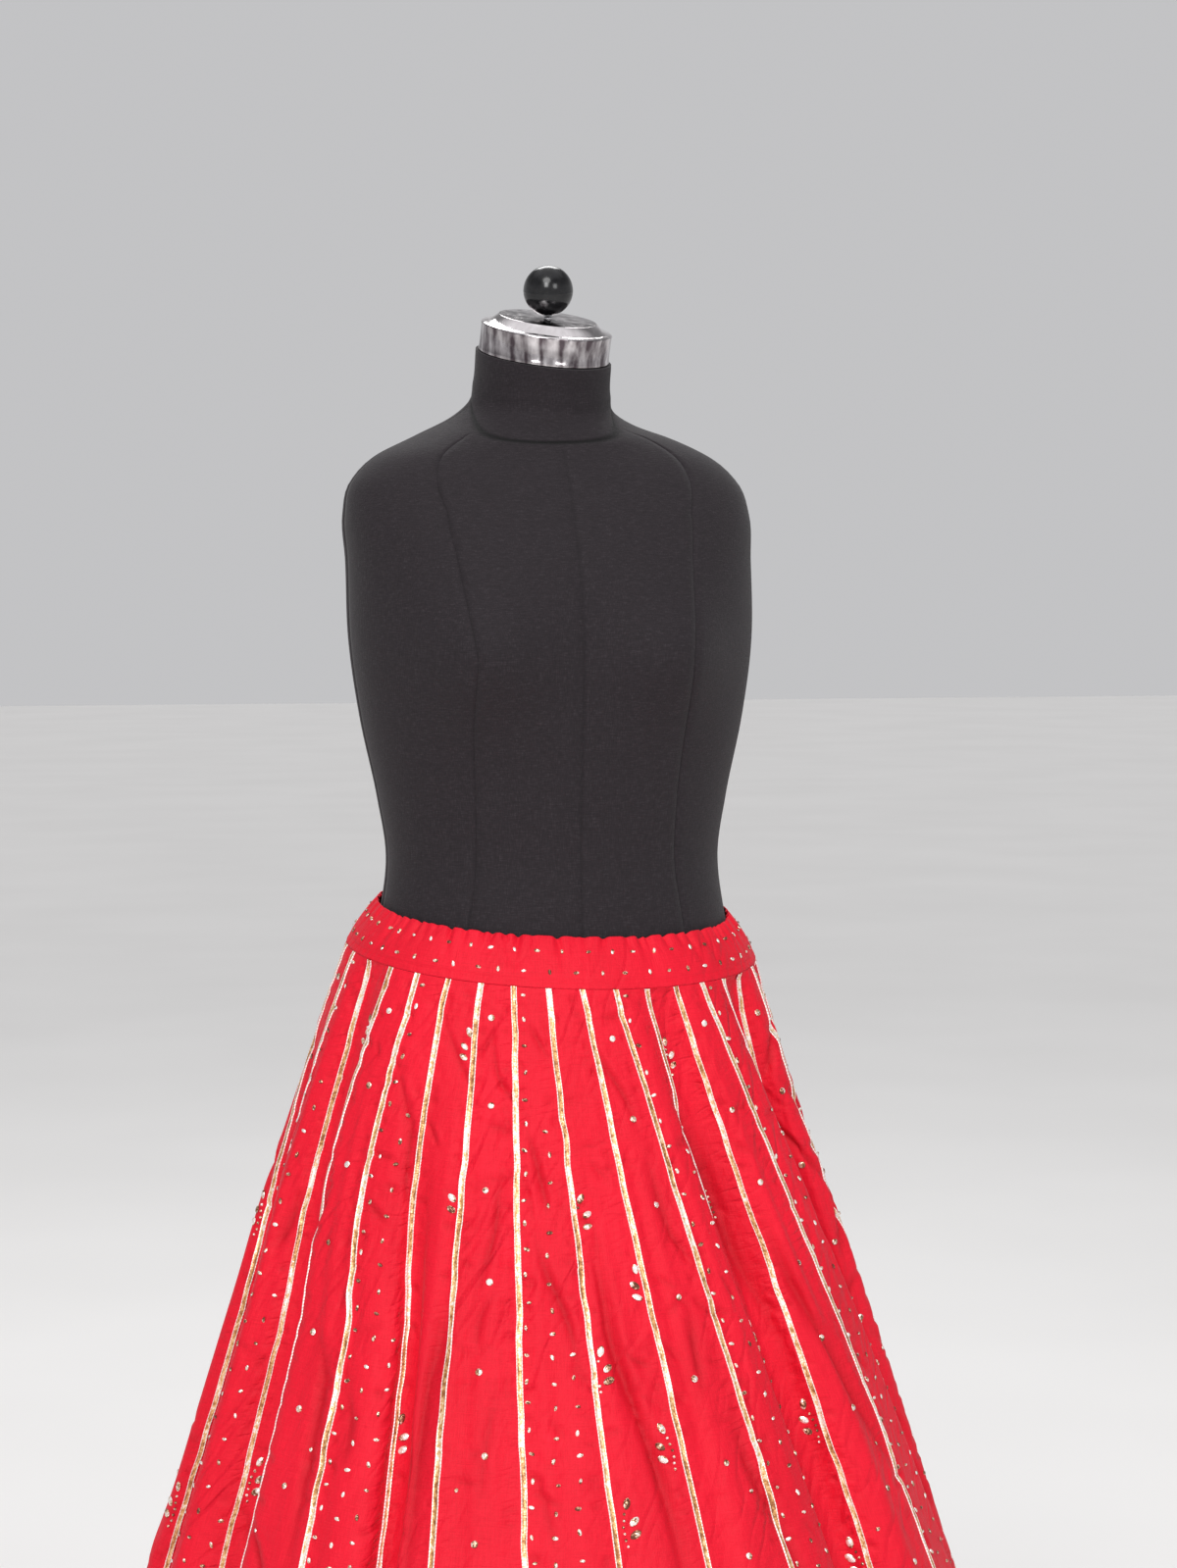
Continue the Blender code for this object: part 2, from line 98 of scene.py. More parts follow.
# ---------------------------------------------------------------- creases in the cloth
# A crease is a soft trough along a path of points of the cloth, each given by its place and
# its share down, with a low ridge along one side. width is how fast its sides rise and depth
# how deep it lies, in metres. A negative depth makes a ridge. These show on the front.
Crease = namedtuple("Crease", "path width depth")
CREASES = (
    # the two long troughs, and their branches
    Crease(((35.04, .212), (35.0, .231), (34.88, .262), (34.79, .287), (34.75, .344), (34.73, .426),
            (34.66, .546)), 0.0068, 0.0068),
    Crease(((1.21, .156), (1.29, .181), (1.38, .212), (1.40, .244), (1.54, .287), (1.67, .325), (1.75, .369),
            (1.78, .426), (1.84, .566)), 0.0044, 0.0070),
    Crease(((1.46, .248), (1.70, .259), (1.94, .263)), 0.0028, 0.0025),
    Crease(((1.58, .278), (1.80, .287), (2.00, .289)), 0.0024, 0.0015),
    Crease(((34.62, .306), (34.55, .356), (34.50, .436)), 0.0044, 0.0025),
    # slanting pulls from the band down to the right
    Crease(((34.22, .026), (34.54, .044), (34.88, .062), (35.12, .076)), 0.0023, 0.0021),
    Crease(((35.52, .018), (35.62, .050), (35.79, .068), (36.12, .081), (36.54, .095)), 0.0024, 0.0026),
    Crease(((36.26, .090), (36.46, .119), (36.58, .144), (36.60, .161)), 0.0026, 0.0028),
    Crease(((36.27, .156), (36.5, .194), (36.71, .219), (36.83, .244), (36.90, .281)), 0.0032, 0.0036),
    Crease(((36.44, .022), (36.71, .037), (36.98, .051)), 0.0022, 0.0022),
    Crease(((2.10, .022), (2.25, .050), (2.58, .075), (2.73, .110)), 0.0026, 0.0028),
    Crease(((2.70, .104), (2.71, .137), (2.75, .169), (2.92, .187), (3.14, .214)), 0.0030, 0.0029),
    Crease(((3.80, .064), (4.25, .106), (4.42, .144), (4.64, .178)), 0.0040, 0.0037),
    Crease(((5.24, .136), (5.29, .200), (5.42, .244), (5.62, .281), (5.88, .350), (6.20, .416)),
           0.0050, 0.0052),
    Crease(((33.18, .064), (33.58, .087), (33.90, .120)), 0.0026, 0.0022),
    Crease(((33.70, .082), (33.88, .112), (33.92, .144), (34.14, .177)), 0.0030, 0.0030),
    Crease(((1.43, .156), (1.40, .178), (1.37, .206)), 0.0024, 0.0019),
    Crease(((36.10, .122), (36.30, .146), (36.36, .172)), 0.0022, 0.0018),
    # pulls that lean to the left
    Crease(((35.84, .118), (35.75, .150), (35.71, .169), (35.54, .194), (35.36, .223)), 0.0030, 0.0037),
    Crease(((35.82, .206), (35.50, .231), (35.45, .261)), 0.0028, 0.0022),
    Crease(((35.77, .268), (35.62, .318), (35.53, .366)), 0.0032, 0.0021),
    Crease(((32.34, .148), (32.10, .186), (31.90, .216)), 0.0036, 0.0032),
    Crease(((31.00, .174), (30.84, .202), (30.62, .226)), 0.0040, 0.0037),
    Crease(((29.88, .238), (29.96, .268), (30.04, .302)), 0.0040, 0.0037),
    Crease(((2.72, .221), (2.60, .256), (2.52, .291)), 0.0034, 0.0030),
    # the lip of the deep fold on the right
    Crease(((3.90, .060), (4.12, .098), (4.36, .118), (4.46, .150), (4.50, .185), (4.62, .222), (4.83, .260),
            (5.05, .320)), 0.0070, 0.0060),
    # short pulls across the kalis
    Crease(((1.12, .113), (1.60, .108), (2.06, .105)), 0.0017, 0.0016),
    Crease(((1.20, .119), (1.50, .116), (1.70, .115)), 0.0015, 0.0009),
    Crease(((1.50, .117), (1.66, .126), (1.84, .133)), 0.0024, 0.0018),
    Crease(((33.10, .160), (33.40, .169), (33.68, .176)), 0.0026, 0.0025),
    Crease(((1.30, .036), (1.60, .037), (1.86, .033)), 0.0015, 0.0010),
    Crease(((2.20, .196), (2.44, .206), (2.66, .212)), 0.0022, 0.0018),
    Crease(((2.48, .184), (2.70, .174), (2.92, .166)), 0.0022, 0.0015),
    Crease(((2.24, .230), (2.46, .223), (2.70, .214)), 0.0024, 0.0018),
    Crease(((1.92, .242), (2.20, .249), (2.44, .268)), 0.0026, 0.0020),
    # soft flutes lower down
    Crease(((2.98, .268), (2.88, .325), (2.96, .356), (3.14, .416), (3.20, .506)), 0.0050, 0.0042),
    Crease(((33.22, .290), (33.38, .318), (33.34, .351)), 0.0036, 0.0028),
    Crease(((32.42, .250), (32.79, .287), (32.83, .362), (32.86, .476)), 0.0050, 0.0040),
    Crease(((36.18, .332), (36.30, .358), (36.42, .398)), 0.0032, 0.0020),
    Crease(((36.62, .306), (36.68, .406), (36.70, .546)), 0.0120, -0.0022),
    Crease(((35.56, .246), (35.50, .366), (35.48, .546)), 0.0130, -0.0026),
    Crease(((33.62, .206), (33.62, .336), (33.58, .486)), 0.0120, -0.0024),
    Crease(((2.45, .306), (2.48, .426), (2.55, .576)), 0.0120, -0.0026),
    Crease(((4.60, .184), (4.83, .237), (5.0, .281), (5.21, .337), (5.36, .456)), 0.0100, -0.0032),
)
# What the photograph shows of the cloth. Creases on the rest are drawn by chance.
SHOWN_FROM = 29.4
SHOWN_TO = 7.0
SHOWN_DOWN = 0.40
CREASE_SEED = 36
CREASE_REACH = 5.0
CREASE_FADE = 1.5
CREASE_TAPER = 2.4
CREASE_TIP = 0.04
BOTTOM_ROUNDING = 0.30
RIDGE_SIDE = 1.9
RIDGE_BREADTH = 0.9
RIDGE_SHARE = 0.34
# Painted shade in the creases: it starts where a crease is deeper than SHADE_FROM, is full SHADE_RISE deeper,
# and SHADE_POWER keeps it to the trough's bottom.
SHADE_FROM = 0.0008
SHADE_RISE = 0.0022
SHADE_POWER = 1.4
PULLS_PER_KALI = 6
FLUTES_PER_KALI = 2
WRINKLES_PER_KALI = 15
# The least and most that chance gives these creases: how far down they start as a share, their
# turn from straight down and their bend in radians, and the rest in metres.
Chances = namedtuple("Chances", "down length turn bend width depth")
PULL = Chances((0.01, 0.50), (0.045, 0.110), (0.25, 0.95), None, (0.0025, 0.0042), (0.0025, 0.0050))
PULL_BACK = -0.35
FLUTE = Chances((0.30, 0.66), (0.20, 0.36), (-0.12, 0.16), (-0.10, 0.10), (0.0050, 0.0110), (0.0024, 0.0050))
WRINKLE = Chances(None, (0.012, 0.034), (0.5, 1.9), (-0.4, 0.4), (0.0020, 0.0030), (0.0008, 0.0022))
PUCKER = Chances(None, (0.006, 0.019), (0.75, 1.75), (-0.3, 0.3), (0.0018, 0.0027), (0.0007, 0.0021))
PUCKERS_START = (0.004, 0.016)
PUCKERS_END = 0.012
PUCKER_SPACING = 0.0165
PUCKER_PITCHES = (0.45, 1.6)
BEND_SHARES = (0.3, 1.0)
# Most creases lean to the right, and most flutes are troughs.
LEANS = (1.0, 1.0, -1.0)
TROUGH_OR_RIDGE = (1.0, 1.0, -0.8)
WAVES_ROUND = (31, 47, 62, 85, 118)
WAVE_DEPTH = 0.0009
WAVE_SWAY = (-5.0, 5.0)
WAVE_SWELL = (3.0, 8.0)
# How much the painted shade in the creases darkens the cloth's colour.
CREASE_PAINTED_SHADE_SHARE = 0.62
PUCKER_REACH = 0.020

# ---------------------------------------------------------------- how finely cloth is drawn
PLACES_PER_KALI = 24
KALI_COLUMNS = 24
CLOTH_ROWS = 288
FINE_ROWS = 0.62
FINE_DOWN = 0.43
INNER_STEP = 4
HEM_TURN = 0.020
HEM_TURN_RISE = 0.0005
HEM_STITCH_ABOVE = 0.004
HEM_STEP = 0.006

# ---------------------------------------------------------------- waistband
SEAM_GAP = 0.0003
BAND_TOP_HEIGHT = 1.0465
BAND_THICKNESS = 0.0015
BAND_CLEARANCE = 0.0012
BAND_FOOT_OUT = 0.0002
BAND_CUT = (1.06, 0.044)
BAND_WALL = 0.0011
BAND_CLOTH_START = 7.0
BAND_BULGE = 0.0022
BAND_COLUMNS = 800
BAND_ROWS = 32
GATHER_SEED = 3
GATHERS = 84
# The least and most that chance gives a gather: its strength, half its reach down as a share of
# the band, its slant in radians and its distance from the next in shares of an even one.
GatherChances = namedtuple("GatherChances", "strength reach slant pitch")
GATHER = GatherChances((0.2, 1.2), (0.22, 0.72), (-0.06, 0.06), (0.35, 1.9))
GATHER_HALF_WIDTH = 0.0125
GATHER_SPREAD = 0.012
GATHER_DEPTH = 0.0026
GATHER_LIFT = 0.0026
GATHER_RISE = 0.45
GATHER_MOST = 1.3
# How far the band's top edge rolls in towards the form and up, first row first.
EdgeRoll = namedtuple("EdgeRoll", "inward up")
BAND_ROLL = (EdgeRoll(0.0010, -0.0002), EdgeRoll(0.0004, 0.0004))
BAND_STITCH_UP = 0.15
BAND_STITCH_HALF = 0.018
BAND_STITCH_DEPTH = 0.0007

# ---------------------------------------------------------------- dress form
# The form's level sections. half_width, front and back are measured from a centre that may
# lie back from the stand's axis, and lean and roll tip the section, in degrees.
Section = namedtuple("Section", "height half_width front back centre squareness lean roll",
                     defaults=(0.0, 0.0))
FORM_SECTIONS = (
    Section(0.800, 0.150, 0.104, 0.112, 0.000, 2.1),
    Section(0.812, 0.161, 0.112, 0.121, 0.000, 2.1),
    Section(0.860, 0.168, 0.116, 0.128, 0.000, 2.1),
    Section(0.930, 0.161, 0.110, 0.122, 0.000, 2.1),
    Section(1.000, 0.1435, 0.104, 0.108, 0.000, 2.1),
    Section(1.045, 0.1325, 0.1005, 0.100, 0.000, 2.1),
    Section(1.085, 0.1280, 0.0960, 0.0930, 0.000, 2.1),
    Section(1.130, 0.1345, 0.0990, 0.0950, 0.001, 2.1),
    Section(1.190, 0.1470, 0.1060, 0.1000, 0.003, 2.15),
    Section(1.250, 0.1550, 0.1110, 0.1030, 0.006, 2.2),
    Section(1.310, 0.1560, 0.1040, 0.1000, 0.012, 2.3),
    Section(1.345, 0.1570, 0.0910, 0.0940, 0.018, 2.35),
    Section(1.370, 0.1500, 0.0800, 0.0860, 0.024, 2.3),
    Section(1.390, 0.1290, 0.0700, 0.0770, 0.029, 2.25, 1.0, 0.0),
    Section(1.405, 0.0980, 0.0630, 0.0690, 0.033, 2.15, 3.0, 0.0),
    Section(1.416, 0.0720, 0.0580, 0.0620, 0.036, 2.05, 6.0, 1.0),
    Section(1.426, 0.0575, 0.0545, 0.0565, 0.038, 2.0, 9.0, 2.0),
    Section(1.442, 0.0530, 0.0525, 0.0530, 0.036, 2.0, 12.0, 3.0),
    Section(1.466, 0.0520, 0.0520, 0.0520, 0.030, 2.0, 14.0, 4.0),
)
BUST_HEIGHT = 1.238
BUST_SIDE = 0.076
BUST_RISE = 0.024
BUST_SPREAD_ACROSS = 0.042
BUST_SPREAD_UP = 0.046
FORM_ROW_STEP = 0.0055
FORM_COLUMN_STEP = 3.2
FORM_SEAM_HALF = 0.0011
FORM_SEAM_DEPTH = 0.0011
# How dark the painted shade in the panel seams is, beside the full painted shade of the neck's seam.
PANEL_SEAM_SHADE = 0.25
# A panel seam's groove: points in seam half widths aside, and the share of its depth there.
SEAM_GROOVE = ((-1.5, 0.0), (-0.6, 0.75), (0.0, 1.0), (0.6, 0.75), (1.5, 0.0))
NECK_SEAM_DEPTH = 0.0018
NECK_SEAM_HALF = 0.0006
NECK_SEAM_HEIGHT = 1.431
NECK_SEAM_LEAN = math.radians(25.0)
NECK_SEAM_ROLL = math.radians(-1.0)
NECK_ROWS = (1.388, 1.463, 0.0008)
# Where the form's panels meet, in degrees from the front, at some heights. FORM_TURNS are
# the turns of its eight seams before they are drawn to these.
FORM_TURNS = (0.0, 38.0, 90.0, 142.0, 180.0, 218.0, 270.0, 322.0, 360.0)
PanelSeam = namedtuple("PanelSeam", "height front_panel back_panel")
PANEL_SEAMS = (
    PanelSeam(0.800, 38.0, 142.0),
    PanelSeam(1.045, 37.0, 145.0),
    PanelSeam(1.238, 30.0, 148.0),
    PanelSeam(1.345, 33.0, 146.0),
    PanelSeam(1.405, 44.0, 136.0),
    PanelSeam(1.466, 44.0, 136.0),
)

# ---------------------------------------------------------------- cap, knob and stand
SEAT_GAP = 0.0003
CAP_RADIUS = 0.0505
CAP_SIDE = 0.0215
CAP_HEIGHT = 0.029
CAP_TOP_RADIUS = 0.0385
KNOB_RADIUS = 0.019
KNOB_CENTRE = 0.021
KNOB_TURNED_BACK = math.radians(7.0)
KNOB_RIDGE = 0.00014
STEM_RADIUS = 0.0035
STEM_SUNK = 0.0012
# Turned edges and rims: the radii that round them over.
CAP_EDGE = 0.0012
CAP_RIM = 0.0006
POLE_EDGE = 0.0005
BOSS_EDGE = 0.0015
# The cap's profile between its turned edges, from the top down, and the stem's from the cap up:
# how far in from its full radius, and how high.
Inset = namedtuple("Inset", "inset height")
CAP_SHOULDER = (Inset(0.0076, CAP_SIDE + 0.0026), Inset(0.0034, CAP_SIDE + 0.0012))
CAP_WALL = (Inset(0.0004, CAP_SIDE - 0.0016), Inset(0.0004, 0.0032), Inset(0.0, 0.0026), Inset(0.0, 0.0012))
STEM_FOOT = (Inset(0.0009, 0.0014), Inset(0.0002, 0.0008), Inset(0.0, 0.0004), Inset(0.0, 0.0))
POLE_RADIUS = 0.014
BASE_RADIUS = 0.175
BASE_BOSS_RADIUS = 0.030
BASE_BOSS_HEIGHT = 0.020
BASE_DISH_HEIGHT = 0.013
BASE_RIM_HEIGHT = 0.009
BASE_EDGE = 0.003
TURNED_STEPS = 96

# ---------------------------------------------------------------- metal on the cloth
DENSE, SPRIGGED, SPARSE = range(3)
STRIP_ROWS = 230
STRIP_KINK = 0.00070
STRIP_TILT = 0.00030
STRIP_CRUSH = 0.00012
KINK_PITCH = 0.018
TILT_PITCH = 0.013
CRUSH_PITCH = 0.006
SEAM_SHIFT = 0.37
# The ribbon's section: how far across from its near edge, and how high over the cloth.
StripPoint = namedtuple("StripPoint", "across height")
STRIP_SECTION = (
    StripPoint(0.0000, 0.00000),
    StripPoint(0.0001, 0.00052),
    StripPoint(0.0005, 0.00062),
    StripPoint(0.0007, 0.00034),
    StripPoint(0.0022, 0.00050),
    StripPoint(0.0037, 0.00034),
    StripPoint(0.0039, 0.00062),
    StripPoint(0.0043, 0.00052),
    StripPoint(0.0044, 0.00000),
)
STRIP_THREAD_FACES = (0, 1, 2, 5, 6, 7)
STRIP_GROUPS = (("gota_front", 0, 6), ("gota_left", 6, 15), ("gota_back", 15, 24),
                ("gota_right", 24, 31), ("gota_front_right", 31, 36))

# A piece of pressed metal: its outline's corners, its rings' heights and then its middle's, and
# its rings' shares of its outline. Lengths and breadths are given below.
Dome = namedtuple("Dome", "corners heights shares")
DOT_DOME = Dome(8, (0.0002, 0.0010, 0.0007), (1.0, 0.62))
BAND_DOT_DOME = Dome(8, (0.0001, 0.0009, 0.0006), (1.0, 0.62))
SINGLE_DOME = Dome(10, (0.0002, 0.0012, 0.0006), (1.0, 0.70))
SMALL_DOME = Dome(8, (0.0002, 0.0010, 0.0006), (1.0, 0.65))
LEAF_DOME = Dome(12, (0.0002, 0.0009, 0.0015), (1.0, 0.72))
BEAD_DOME = Dome(7, (0.0000, 0.0011, 0.0014), (1.0, 0.66))

DOT_SEED = 5
DOT_ROW_PITCH = 0.0182
DOT_COLUMN_PITCH = 0.0162
DOT_MARGIN = 0.0030
DOT_FAR_MARGIN = 0.0080
DOTS_START = 0.010
EVEN_COLUMN_LIFT = 0.004
DOT_LENGTH = 0.0046
DOT_BREADTH = 0.0027
SINGLE_PITCH = 0.062
SINGLE_DIAMETER = 0.0050
SMALL_DIAMETER = 0.0034
SMALL_FROM_WIDTH = 0.050
SMALL_ASIDE = 0.27
BAND_DOT_SEED = 23
BAND_DOT_SIZE = 0.95
BAND_DOT_PITCH = 0.0170
BAND_DOT_ROWS = (0.31, 0.69)
# The least and most that chance gives each kind of dot: its move aside (in metres, in kalis and
# in dots), its turn in degrees and its size. lean is the most degrees that it tips either way.
DotChances = namedtuple("DotChances", "aside turn size lean")
DENSE_CHANCES = DotChances((-0.0012, 0.0022), (-22.0, 22.0), (0.82, 1.08), 14.0)
SINGLE_CHANCES = DotChances((-0.10, 0.10), (0.0, 180.0), (0.92, 1.06), 10.0)
BAND_CHANCES = DotChances((-0.08, 0.08), (-20.0, 20.0), (0.85, 1.05), 12.0)
DENSE_DOWN = (-0.0020, 0.0020)
SINGLE_START = (0.022, 0.050)
SINGLE_PITCHES = (0.88, 1.12)
SMALL_SHARE = 0.55
SMALL_BELOW = (0.7, 1.2)

METAL_LIFT = 0.0003

SPRIG_SEED = 11
LEAF_SEED = 17
SPRIG_PITCH = 0.107
SPRIGS_END = 0.965
FIRST_LEAF_MISSING = 0.35
LEAF_LENGTH = 0.0086
LEAF_BREADTH = 0.0052
LEAF_POINT = 1.25
BEAD_DIAMETER = 0.0023
FIRST_SPRIG = (0.04, 0.17)
SPRIG_PITCHES = (0.97, 1.04)
SPRIGS_COVERED = (0.003, 0.004, 0.006, 0.009)
SPRIG_LEAN = 11.0
LEAF_TURNS = (-12.0, 12.0)
LEAF_SIZES = (0.92, 1.06)
BEAD_ASIDES = (-0.0004, 0.0004)
BEAD_SIZES = (0.85, 1.10)
# A sprig's pieces, from its middle at the ribbon's edge: away from the ribbon, up along it,
# and the turn of each leaf in degrees up from straight away.
SprigLeaf = namedtuple("SprigLeaf", "away up turn")
SPRIG_LEAVES = (
    SprigLeaf(0.0030, 0.0140, 112.0),
    SprigLeaf(0.0125, 0.0190, 70.0),
    SprigLeaf(0.0160, 0.0062, 30.0),
    SprigLeaf(0.0158, -0.0030, 26.0),
)
SprigBead = namedtuple("SprigBead", "away up")
SPRIG_BEADS = (
    SprigBead(0.0100, 0.0118),
    SprigBead(0.0088, 0.0072),
    SprigBead(0.0082, 0.0026),
    SprigBead(0.0082, -0.0020),
    SprigBead(0.0086, -0.0066),
    SprigBead(0.0096, -0.0110),
)
SPRIG_CLEAR = 0.0008
# The sprigs that show on the front, at a kali's near edge (1) or far edge (-1): how far down
# each lies, and how much of it the ribbon covers, in metres. Others follow on below.
Sprig = namedtuple("Sprig", "down covered")
SprigRun = namedtuple("SprigRun", "kali side sprigs")
SPRIG_RUNS = (
    SprigRun(1, 1, (Sprig(0.162, 0.0090), Sprig(0.269, 0.0080), Sprig(0.375, 0.0042))),
    SprigRun(1, -1, (Sprig(0.212, 0.0110), Sprig(0.325, 0.0036))),
    SprigRun(4, 1, (Sprig(0.056, 0.0080), Sprig(0.162, 0.0040))),
    SprigRun(4, -1, (Sprig(0.336, 0.0050),)),
    SprigRun(7, 1, (Sprig(0.096, 0.0060), Sprig(0.206, 0.0040), Sprig(0.312, 0.0040))),
    SprigRun(7, -1, (Sprig(0.156, 0.0060), Sprig(0.261, 0.0040))),
    SprigRun(28, 1, (Sprig(0.166, 0.0060), Sprig(0.376, 0.0050))),
    SprigRun(28, -1, (Sprig(0.216, 0.0060), Sprig(0.431, 0.0040))),
    SprigRun(31, 1, (Sprig(0.391, 0.0050),)),
    SprigRun(31, -1, (Sprig(0.056, 0.0090), Sprig(0.446, 0.0050))),
    SprigRun(34, 1, (Sprig(0.331, 0.0110),)),
    SprigRun(34, -1, (Sprig(0.050, 0.0110), Sprig(0.156, 0.0120), Sprig(0.466, 0.0050))),
)

# ---------------------------------------------------------------- camera and light
# The photograph is 1599 pixels high, and the stand's axis is 37 pixels left of its middle.
PHOTO_HEIGHT = 1599
FOCAL_PIXELS = 3340
AXIS_LEFT_PIXELS = 37
SENSOR = 36.0
CAMERA_PLACE = (-0.5624, -2.4359, 1.300)
CAMERA_TARGET = (0.0, 0.0, 1.139)
FLOOR_SIZE = 60.0
AreaLight = namedtuple("AreaLight", "name place size watts")
AREA_LIGHTS = (
    AreaLight("soft_left", (-1.3, -3.2, 2.9), (1.0, 1.2), 44.0),
    AreaLight("soft_right", (1.2, -3.3, 2.5), (1.0, 1.2), 22.0),
    AreaLight("soft_back", (0.6, 3.0, 4.3), (2.2, 1.6), 62.0),
)
LIGHT_TARGET = (0.0, 0.0, 0.85)
SUN_STRENGTH = 1.38
SUN_ANGLE = math.radians(30)
SUN_ALONG = (0.27, 0.68, -0.68)
# The pale room all round: its shade by how steeply a direction points up, from 0 level to 1
# straight up. Whatever lies lower than the first place takes the first shade.
ROOM_SHADES = ((0.22, 0.80), (0.45, 0.30), (0.66, 0.22), (0.88, 1.15))
ROOM_BLUE = 1.02
ROOM_STRENGTH = 0.68


# ---------------------------------------------------------------- curves
def ease(value):
    """0 to 1 with level ends."""
    held = np.clip(value, 0.0, 1.0)
    return held * held * (3.0 - 2.0 * held)


def valley(offset):
    """A rounded valley, 1 at its middle and 0 from its edges outwards."""
    return 0.5 + 0.5 * np.cos(math.pi * np.clip(offset, -1.0, 1.0))


def unit(vectors):
    return vectors / np.linalg.norm(vectors, axis=-1, keepdims=True)


def ellipse_lengths(roundness):
    """Angles from the front, and the length round an ellipse of half width 1 up to each."""
    angles = np.linspace(0.0, 2.0 * math.pi, 1441)
    across = np.sin(angles)
    deep = -roundness * np.cos(angles)
    steps = np.hypot(np.diff(across), np.diff(deep))
    return angles, np.concatenate(([0.0], np.cumsum(steps)))


def smooth_between(values, slopes, low, share, span=1.0):
    """Smooth curves through values, at a share of 0 to 1 from each low one to the next."""
    level = values[low] * (1.0 + 2.0 * share) * (1.0 - share) ** 2
    level = level + values[low + 1] * share * share * (3.0 - 2.0 * share)
    lean = slopes[low] * share * (1.0 - share) ** 2 - slopes[low + 1] * share * share * (1.0 - share)
    return level + span * lean


def through_table(column, heights):
    """A smooth curve through one column of the form's table, read at the heights."""
    known = np.array([section.height for section in FORM_SECTIONS])
    values = np.array([getattr(section, column) for section in FORM_SECTIONS])
    heights = np.clip(heights, known[0], known[-1])
    low = np.clip(np.searchsorted(known, heights), 1, len(known) - 1) - 1
    span = known[low + 1] - known[low]
    return smooth_between(values, np.gradient(values, known), low, (heights - known[low]) / span, span)


def smooth_chance(generator, lengths, pitch):
    """A smooth random curve from -1 to 1, read at lengths down a kali. pitch is its spacing."""
    values = generator.uniform(-1.0, 1.0, int(KALI_LENGTH / pitch) + 4)
    low = np.floor(lengths / pitch).astype(int)
    blend = ease(lengths / pitch - low)
    return values[low] * (1.0 - blend) + values[low + 1] * blend


# ---------------------------------------------------------------- hanging cloth
def fold_shape(places, down):
    """How deep the cloth lies in its folds, as shares, at places counted in kalis."""
    shape = np.zeros_like(places)
    for fold in FOLDS:
        begun = ease((down - fold.start) / FOLD_SPREAD)
        half_round = KALI_COUNT / 2
        offset = (places - fold.place + half_round) % KALI_COUNT - half_round
        shape += fold.share * begun * valley(offset / fold.half_width)
    return shape


def seam_ring():
    """Length round the waistband's lower seam."""
    return SEAM_HALF_WIDTH * ellipse_lengths(SEAM_ROUNDNESS)[1][-1]


def waist_rise(x, y):
    """The waist sits low at the front, and a little low at the +X side."""
    return WAIST_DIP * y - WAIST_ROLL * x


def kali_width(down):
    top_width = seam_ring() / KALI_COUNT
    return top_width + (KALI_HEM_WIDTH - top_width) * down


def take_up(width, slope, target):
    """Depth of a whole share and the lengths gone round, so that the row fits its outline."""
    def lengths(depth):
        ahead = np.sqrt(np.maximum(width ** 2 - (depth * slope) ** 2, (STEEPEST * width) ** 2))
        steps = (ahead[1:] + ahead[:-1]) / 2 / PLACES_PER_KALI
        return np.concatenate(([0.0], np.cumsum(steps)))

    shallow = 0.0
    deep = DEEPEST_FOLD * width
    for _ in range(HALVINGS):
        middle = (shallow + deep) / 2
        if lengths(middle)[-1] > target:
            shallow = middle
        else:
            deep = middle
    gone = lengths(deep)
    return deep, gone * target / gone[-1]


def cloth_row(down, columns):
    """Points of one level row of cloth, at places counted in kalis."""
    width = kali_width(down)
    half_width = SEAM_HALF_WIDTH + (HEM_HALF_WIDTH - SEAM_HALF_WIDTH) * down
    roundness = SEAM_ROUNDNESS + (HEM_ROUNDNESS - SEAM_ROUNDNESS) * ease(down / ROUND_BY)
    angles, unit_lengths = ellipse_lengths(roundness)
    target = half_width * unit_lengths[-1]

    places = np.arange(KALI_COUNT * PLACES_PER_KALI + 1) / PLACES_PER_KALI
    shape = fold_shape(places, down)
    depth, gone = take_up(width, np.gradient(shape, places), target)

    seam_angles, seam_lengths = ellipse_lengths(SEAM_ROUNDNESS)
    round_to_plumb = (PLUMB_PLACE - CENTRE_FRONT) / KALI_COUNT * seam_lengths[-1]
    plumb_angle = np.interp(round_to_plumb, seam_lengths, seam_angles)
    plumb = half_width * np.interp(plumb_angle, angles, unit_lengths)
    turned = (gone - np.interp(PLUMB_PLACE, places, gone) + plumb) % target
    angle = np.interp(turned / half_width, unit_lengths, angles)

    across = np.sin(angle)
    deep = -np.cos(angle)
    out = unit(np.stack((across * roundness, deep), axis=-1))
    inward = depth * shape
    inward -= LIP_SHARE * inward.mean()
    flat = half_width * np.stack((across, deep * roundness), axis=-1) - out * inward[:, None]
    x = np.interp(columns, places, flat[:, 0])
    y = np.interp(columns, places, flat[:, 1])

    leaning = math.sqrt(KALI_LENGTH ** 2 - (HEM_HALF_WIDTH - SEAM_HALF_WIDTH) ** 2)
    tipped = 1.0 - float(ease(down / TIPS_END))
    return np.stack((x, y, SEAM_HEIGHT - leaning * down + tipped * waist_rise(x, y)), axis=-1)


def is_shown(place, down):
    """Whether the photograph shows this point of the cloth."""
    place = place % KALI_COUNT
    return down < SHOWN_DOWN and (place > SHOWN_FROM or place < SHOWN_TO)


def wandering(chance, place, down, length, turn, bend):
    """A path of four points that starts at a turn from straight down and bends as it goes."""
    path = [(place, down)]
    for _ in range(3):
        step = length / 3
        down += step * math.cos(turn) / KALI_LENGTH
        place += step * math.sin(turn) / kali_width(min(down, 1.0))
        turn += bend * chance.uniform(*BEND_SHARES)
        path.append((place, down))
    return tuple(path)


